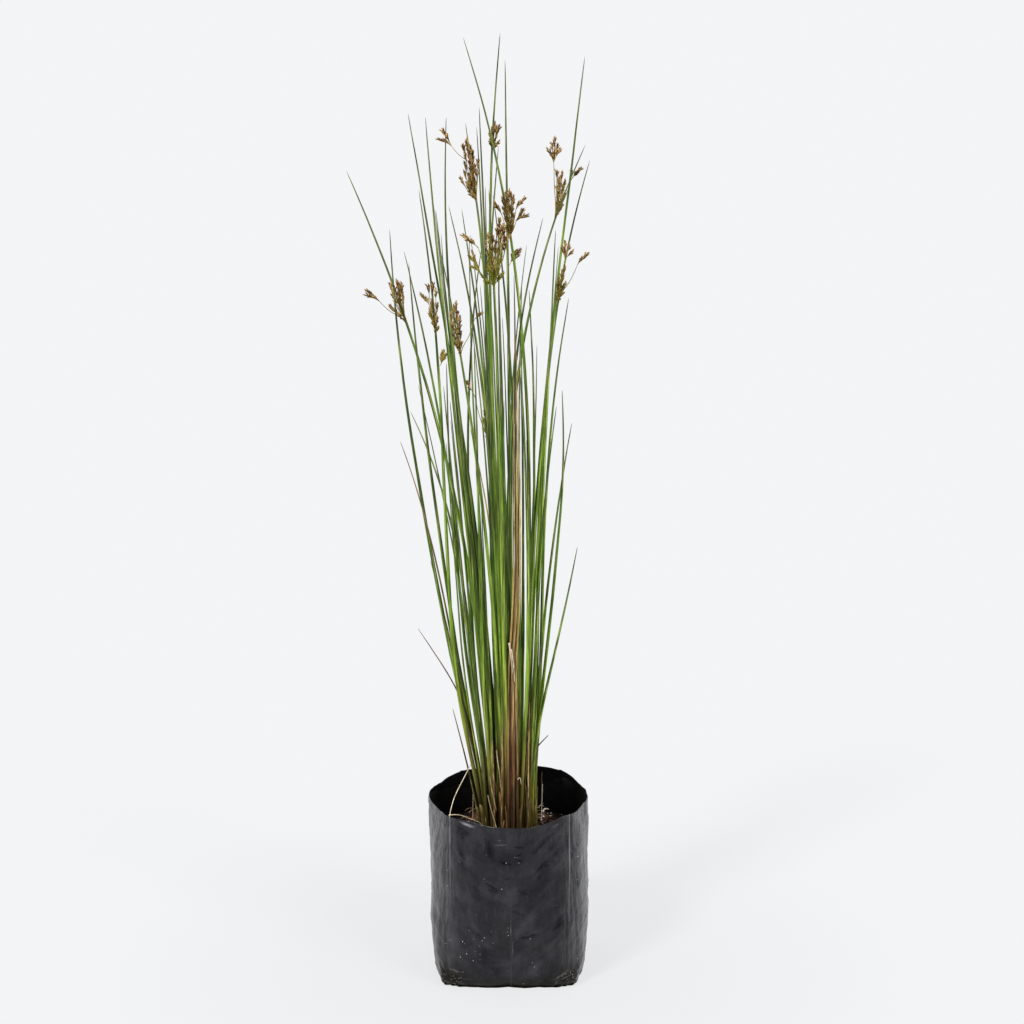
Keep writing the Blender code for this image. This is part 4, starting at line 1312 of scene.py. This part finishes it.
def bitFinish(name, stops, roughness):
    # Small pieces of bark, grit or straw, each with its own tone
    finish, tree, shader = newFinish(name, **{"Specular IOR Level": 0.22, "Roughness": roughness})
    fibre = grain(tree, stretched(tree, objectPlace(tree), (500, 500, 180)), 1.0, 4.0, 0.6)
    tone = plus(tree, times(tree, attribute(tree, "pick"), 0.8), spread(tree, fibre, 0.3, 0.7, -0.1, 0.3))
    colourIn(tree, shader, ramp(tree, tone, stops))
    raised(tree, shader, fibre, 0.15 * mm, 0.7)
    return finish


def onMix(x, y):
    # A place on the mix, kept inside the film
    turn = math.atan2(y, x)
    wall = bagReach(turn, mix["top"])
    share = min(0.9, math.hypot(x, y) / wall)
    x, y = wall * share * math.cos(turn), wall * share * math.sin(turn)
    return Vector((x, y, mixHeight(x, y, share)))


def anywhereOnMix(dice):
    turn = dice.uniform(0, math.tau)
    reach = mix["reach"] * math.sqrt(dice.uniform(0.06, 1))
    return onMix(reach * math.cos(turn), reach * math.sin(turn))


def addChip(bm, place, tone, dice):
    pick = bm.verts.layers.float["pick"]
    chip = bmesh.ops.create_cube(bm, size=1)["verts"]
    for corner in chip:
        corner.co += Vector([dice.uniform(-0.18, 0.18) for axis in range(3)])
        corner[pick] = tone
    lengths, widths, heights = mix["chip"]
    length = dice.uniform(*lengths) * mm
    size = (length, length * dice.uniform(*widths), dice.uniform(*heights) * mm, 1)
    lie = Matrix.Rotation(dice.uniform(0, math.tau), 4, "Z") @ Matrix.Rotation(dice.gauss(0, 0.35), 4, "X")
    bmesh.ops.transform(bm, matrix=Matrix.Translation(place) @ lie @ Matrix.Diagonal(size), verts=chip)


def scatterBits(finishes):
    dice = random.Random(7)
    bark = bmesh.new()
    bark.verts.layers.float.new("pick")
    for across, depth, reach, count in mix["litter"]:
        for n in range(count):
            place = onMix(dice.gauss(across, 0.6 * reach) * mm, dice.gauss(depth, 0.8 * reach) * mm)
            addChip(bark, place, dice.uniform(0.25, 1), dice)
    for n in range(mix["darkChips"]):
        addChip(bark, anywhereOnMix(dice), 0.25 * dice.random(), dice)
    putPiece("barkChips", bark, [finishes["bark"]])

    grit = bmesh.new()
    pick = grit.verts.layers.float.new("pick")
    for n in range(mix["grit"]):
        crumb = bmesh.ops.create_icosphere(grit, subdivisions=1, radius=1)["verts"]
        tone = dice.random()
        for corner in crumb:
            corner.co += Vector([dice.uniform(-0.25, 0.25) for axis in range(3)])
            corner[pick] = tone
        size = dice.uniform(*mix["gritSize"]) * mm
        beside = onMix(*(dice.gauss(*side) * mm for side in mix["gritPlace"]))
        place = (beside if n % 2 else anywhereOnMix(dice)) + Vector((0, 0, 0.5 * mm))
        squash = Matrix.Diagonal((size, size * dice.uniform(0.7, 1), size * 0.7, 1))
        bmesh.ops.transform(grit, matrix=Matrix.Translation(place) @ squash, verts=crumb)
    putPiece("whiteGrit", grit, [finishes["grit"]])

    fibres = bmesh.new()
    for n in range(mix["fibres"]):
        start = anywhereOnMix(dice)
        way = Vector((dice.gauss(0, 1), dice.gauss(0, 1), 0)).normalized()
        way *= dice.uniform(*mix["fibreLength"]) * mm
        end = onMix(start.x + way.x, start.y + way.y)
        middle = start.lerp(end, 0.5) + Vector((dice.gauss(0, 0.8), dice.gauss(0, 0.8), 2)) * mm
        lift = Vector((0, 0, 0.5 * mm))
        route = smoothRoute([start + lift, middle, end + lift], 7)
        thick = dice.uniform(*mix["fibreReach"]) * mm
        growTube(fibres, route, [thick * (1 - 0.08 * k) for k in range(7)], 5, {"pick": 0.7 * dice.random()})
    putPiece("mixFibres", fibres, [finishes["straw"]])


# Dry straw and stubs: points in millimetres, radius at both ends, how flat it is, tone

strawRows = {
    "strawOverRim": ([(-34, -12, 205), (-40, -18, 194.5), (-46, -26, 185), (-50, -33, 178), (-52.3, -39, 172),
        (-53.5, -45, 168), (-54.2, -50, 164)], 0.42, 0.34, 1, 0.95),
    "strawInMouth": ([(-54.5, -49.5, 168), (-45, -43, 165.5), (-35, -36.5, 159), (-28, -31, 154),
        (-24, -27, 149)], 0.5, 0.3, 1, 0.85),
    "leftStub": ([(-34, 37, 128), (-33.8, 37.5, 140), (-33.5, 38, 154)], 0.6, 0.4, 1, 0.55),
    "rightStub": ([(31, 34, 128), (31.6, 33.6, 150), (32, 33, 166)], 0.5, 0.4, 1, 1.0),
    "rightCurl": ([(32, 33, 165), (31.3, 33, 171), (31.8, 33, 178)], 0.3, 0.12, 1, 0.55),
    "frontHook": ([(8.6, -33.6, 196), (9.3, -34, 198), (10.5, -34.2, 198.4), (11.3, -34.2, 196),
        (11.8, -33.8, 192)], 0.3, 0.22, 1, 0.9),
    "peelOne": ([(-19, -30, 180), (-17, -31, 170), (-13, -33, 156), (-10.6, -34, 146), (-8.5, -35, 130)],
        0.6, 0.45, 0.4, 0.68),
    "peelTwo": ([(-17, -29, 198), (-15.5, -31, 187), (-12.8, -32, 174), (-11, -33, 165)],
        0.8, 0.25, 0.3, 0.68),
    "peelThree": ([(-10.8, -30, 224), (-9.6, -33, 213), (-7.8, -33.5, 199), (-7.3, -33, 188)],
        0.7, 0.25, 0.3, 0.7),
    "palePeel": ([(0.8, -44, 332), (1.7, -43.6, 325), (2.8, -43, 316), (3.8, -41.5, 302)],
        1.3, 0.5, 0.35, 0.88),
    "palePeelSide": ([(2.6, -43.6, 326), (3.9, -43.2, 317), (5.0, -42.6, 307), (5.6, -41.4, 294)],
        0.9, 0.4, 0.35, 0.88),
    "snappedStalk": ([(26, -5, 217), (30, -4, 221.5), (36.8, -3, 228.5)], 0.75, 0.35, 1, 0.1),
    "paleBitOne": ([(26, 56, 130), (28, 57, 133), (31, 58, 134.5), (34, 57, 134)], 0.25, 0.15, 1, 1.0),
    "paleBitTwo": ([(32.5, 50, 131), (35, 52, 133.5), (38.5, 52, 133)], 1.1, 0.5, 0.4, 1.0),
    "paleBitThree": ([(29, 62, 130), (31, 64, 133), (34, 64, 134)], 0.22, 0.12, 1, 0.95),
    "darkBitOne": ([(-38, 50, 130), (-35, 53, 132), (-30, 54, 133)], 0.25, 0.15, 1, 0.6),
    "darkBitTwo": ([(-42, 58, 129), (-38, 60, 131), (-34, 59, 131)], 0.22, 0.15, 1, 0.5),
}


def layStraws(finish):
    bm = bmesh.new()
    last = 17
    for points, thick, thin, flatness, tone in strawRows.values():
        route = smoothRoute(np.array(points) * mm, last + 1)
        reaches = [(thick + (thin - thick) * n / last) * mm for n in range(last + 1)]
        growTube(bm, route, reaches, 7, {"pick": tone}, flatness)
    putPiece("dryStraw", bm, [finish])


# Crown: papery sheaths round the feet, and the stubs of old shoots between them

crown = {
    "sides": 10,
    "rings": 9,
    "foot": 4 * mm,
    "height": (18, 60),
    "slack": (0.12, 0.3),
    "slant": (5, 16),               # how much further the point of a sheath reaches
    "stubs": 170,
    "stubSides": 8,
    "stubRings": 7,
    "stubFoot": 6 * mm,
    "stubFront": -20 * mm,          # none stand nearer the front than this
    "across": 25 * mm,
    "centre": (1 * mm, 0),
    "deeper": 1.05,
    "stubHeight": (30, 120),
    "stubReach": (0.5, 1.05),
    "flatStubs": (0.35, 0.4),       # their share, how flat they are
    "stubRed": 20 * mm,
    "clearance": 2.1 * mm,
}


def dressFeet(axes, finish):
    dice = random.Random(21)
    bm = bmesh.new()
    last = crown["rings"]
    for axis in axes:
        foot = axis[0, 2] - crown["foot"]
        red = footRedness(axis)
        tall = dice.uniform(*crown["height"]) * (0.6 + 0.7 * red) * mm
        slack = dice.uniform(*crown["slack"]) * mm
        route = [stemPlace(axis, foot + tall * n / last) for n in range(last + 1)]
        reaches = [stemReach(axis, point.z) + slack for point in route]
        # The last ring dives into the stem, so the sheath closes on its skin
        reaches[-1] -= 2 * slack
        grown = growTube(bm, route, reaches, crown["sides"], {"pick": dice.random(), "red": red})
        share, turn = (bm.verts.layers.float[name] for name in ("share", "turn"))
        onward = (route[-1] - route[0]).normalized() * dice.uniform(*crown["slant"]) * mm
        openSide = dice.uniform(0, math.tau)
        for corner in grown:
            point = 0.5 + 0.5 * math.cos(math.tau * corner[turn] - openSide)
            corner.co += onward * point ** 2 * corner[share] ** 4
    wrapUv(bm, 0.06)
    putPiece("footSheaths", bm, [finish])


def leaveStubs(axes, finish):
    dice = random.Random(33)
    bm = bmesh.new()
    feet = [stemPlace(axis, axis[0, 2]) for axis in axes]
    last = crown["stubRings"]
    x, y = crown["centre"]
    flatShare, flatness = crown["flatStubs"]
    for n in range(crown["stubs"]):
        reach = crown["across"] * math.sqrt((n + 0.5) / crown["stubs"])
        east, north = math.cos(n * goldenTurn), crown["deeper"] * math.sin(n * goldenTurn)
        foot = Vector((x + reach * east, y + reach * north, mix["top"] - crown["stubFoot"]))
        gap, nearest = min(((place.xy - foot.xy).length, k) for k, place in enumerate(feet))
        if gap < crown["clearance"] or foot.y < crown["stubFront"]:
            continue
        tall = dice.uniform(*crown["stubHeight"]) * (1.15 - 0.6 * reach / crown["across"]) * mm
        lean = stemPlace(axes[nearest], foot.z + tall) - feet[nearest]
        route = [foot + Vector((lean.x, lean.y, tall)) * k / last for k in range(last + 1)]
        thick = dice.uniform(*crown["stubReach"]) * mm
        reaches = [thick * (1 - 0.85 * (k / last) ** 2) for k in range(last + 1)]
        tags = {"pick": dice.random(), "red": hump(reach, crown["stubRed"])}
        growTube(bm, route, reaches, crown["stubSides"], tags, flatness if dice.random() < flatShare else 1.0)
    wrapUv(bm, 0.08)
    putPiece("oldStubs", bm, [finish])


def sheathFinish():
    finish, tree, shader = newFinish("paperSheath", **{"Specular IOR Level": 0.28, "Roughness": 0.55})
    streaks = grain(tree, roundStalk(tree, 13, 60), 1.0, 4.0, 0.6)
    along = plus(tree, attribute(tree, "share"), spread(tree, streaks, 0.3, 0.7, -0.3, 0.3))
    reddish = ramp(tree, along, [(0.0, (0.014, 0.005, 0.003)), (0.4, (0.048, 0.014, 0.006)),
                                 (0.8, (0.12, 0.045, 0.017)), (1.0, (0.36, 0.21, 0.10))])
    olive = ramp(tree, along, [(0.0, (0.014, 0.009, 0.003)), (0.35, (0.036, 0.036, 0.005)),
                               (0.8, (0.075, 0.085, 0.010)), (1.0, (0.16, 0.15, 0.04))])
    patches = grain(tree, roundStalk(tree, 2.2, 20), 1.0, 2.0)
    colour = blend(tree, attribute(tree, "red"), olive, reddish)
    colourIn(tree, shader, colour, patches, (0.32, 0.68, 0.30, 1.7))
    raised(tree, shader, streaks, 0.12 * mm, 0.7)
    return finish


# The making

print("setting the studio")
setCamera()
layFloor()
hangLights()

print("dressing the stems")
axes = [packedAxis(number) for number in range(1, 49)]
skins = {kind: skinFinish(*row) for kind, row in stemFinishRows.items()}
for number, axis in enumerate(axes, 1):
    dressStem(number, axis, skins)
growShoots(axes, skins)

print("opening the flower heads")
floret = floretShape()
brownFlower = flowerFinish()
for number, row in enumerate(headRows, 1):
    dressHead(f"flowerHead{number:02d}", [row], axes, floret, brownFlower, [f"flower_head_{number:02d}"])
dressHead("lateTufts", lateRows, axes, floret, brownFlower)

print("folding the bag")
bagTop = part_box("planter_bag")[1].z
makeBag([filmFinish(), shadedFilmInsideFinish()])

print("filling the bag")
makeMix(mixFinish())
dryStraw = bitFinish("dryStrawSkin", [(0.0, (0.05, 0.045, 0.02)), (0.3, (0.16, 0.085, 0.035)),
                                      (0.65, (0.38, 0.27, 0.15)), (1.0, (0.76, 0.68, 0.54))], 0.6)
scatterBits({
    "bark": bitFinish("barkSkin", [(0.0, (0.004, 0.003, 0.002)), (0.25, (0.022, 0.010, 0.006)),
                                   (0.6, (0.085, 0.032, 0.014)), (1.0, (0.24, 0.12, 0.055))], 0.9),
    "grit": bitFinish("gritSkin", [(0.0, (0.40, 0.37, 0.32)), (1.0, (0.72, 0.70, 0.66))], 0.8),
    "straw": dryStraw,
})
layStraws(dryStraw)
paperSheath = sheathFinish()
dressFeet(axes, paperSheath)
leaveStubs(axes, paperSheath)

print("done")
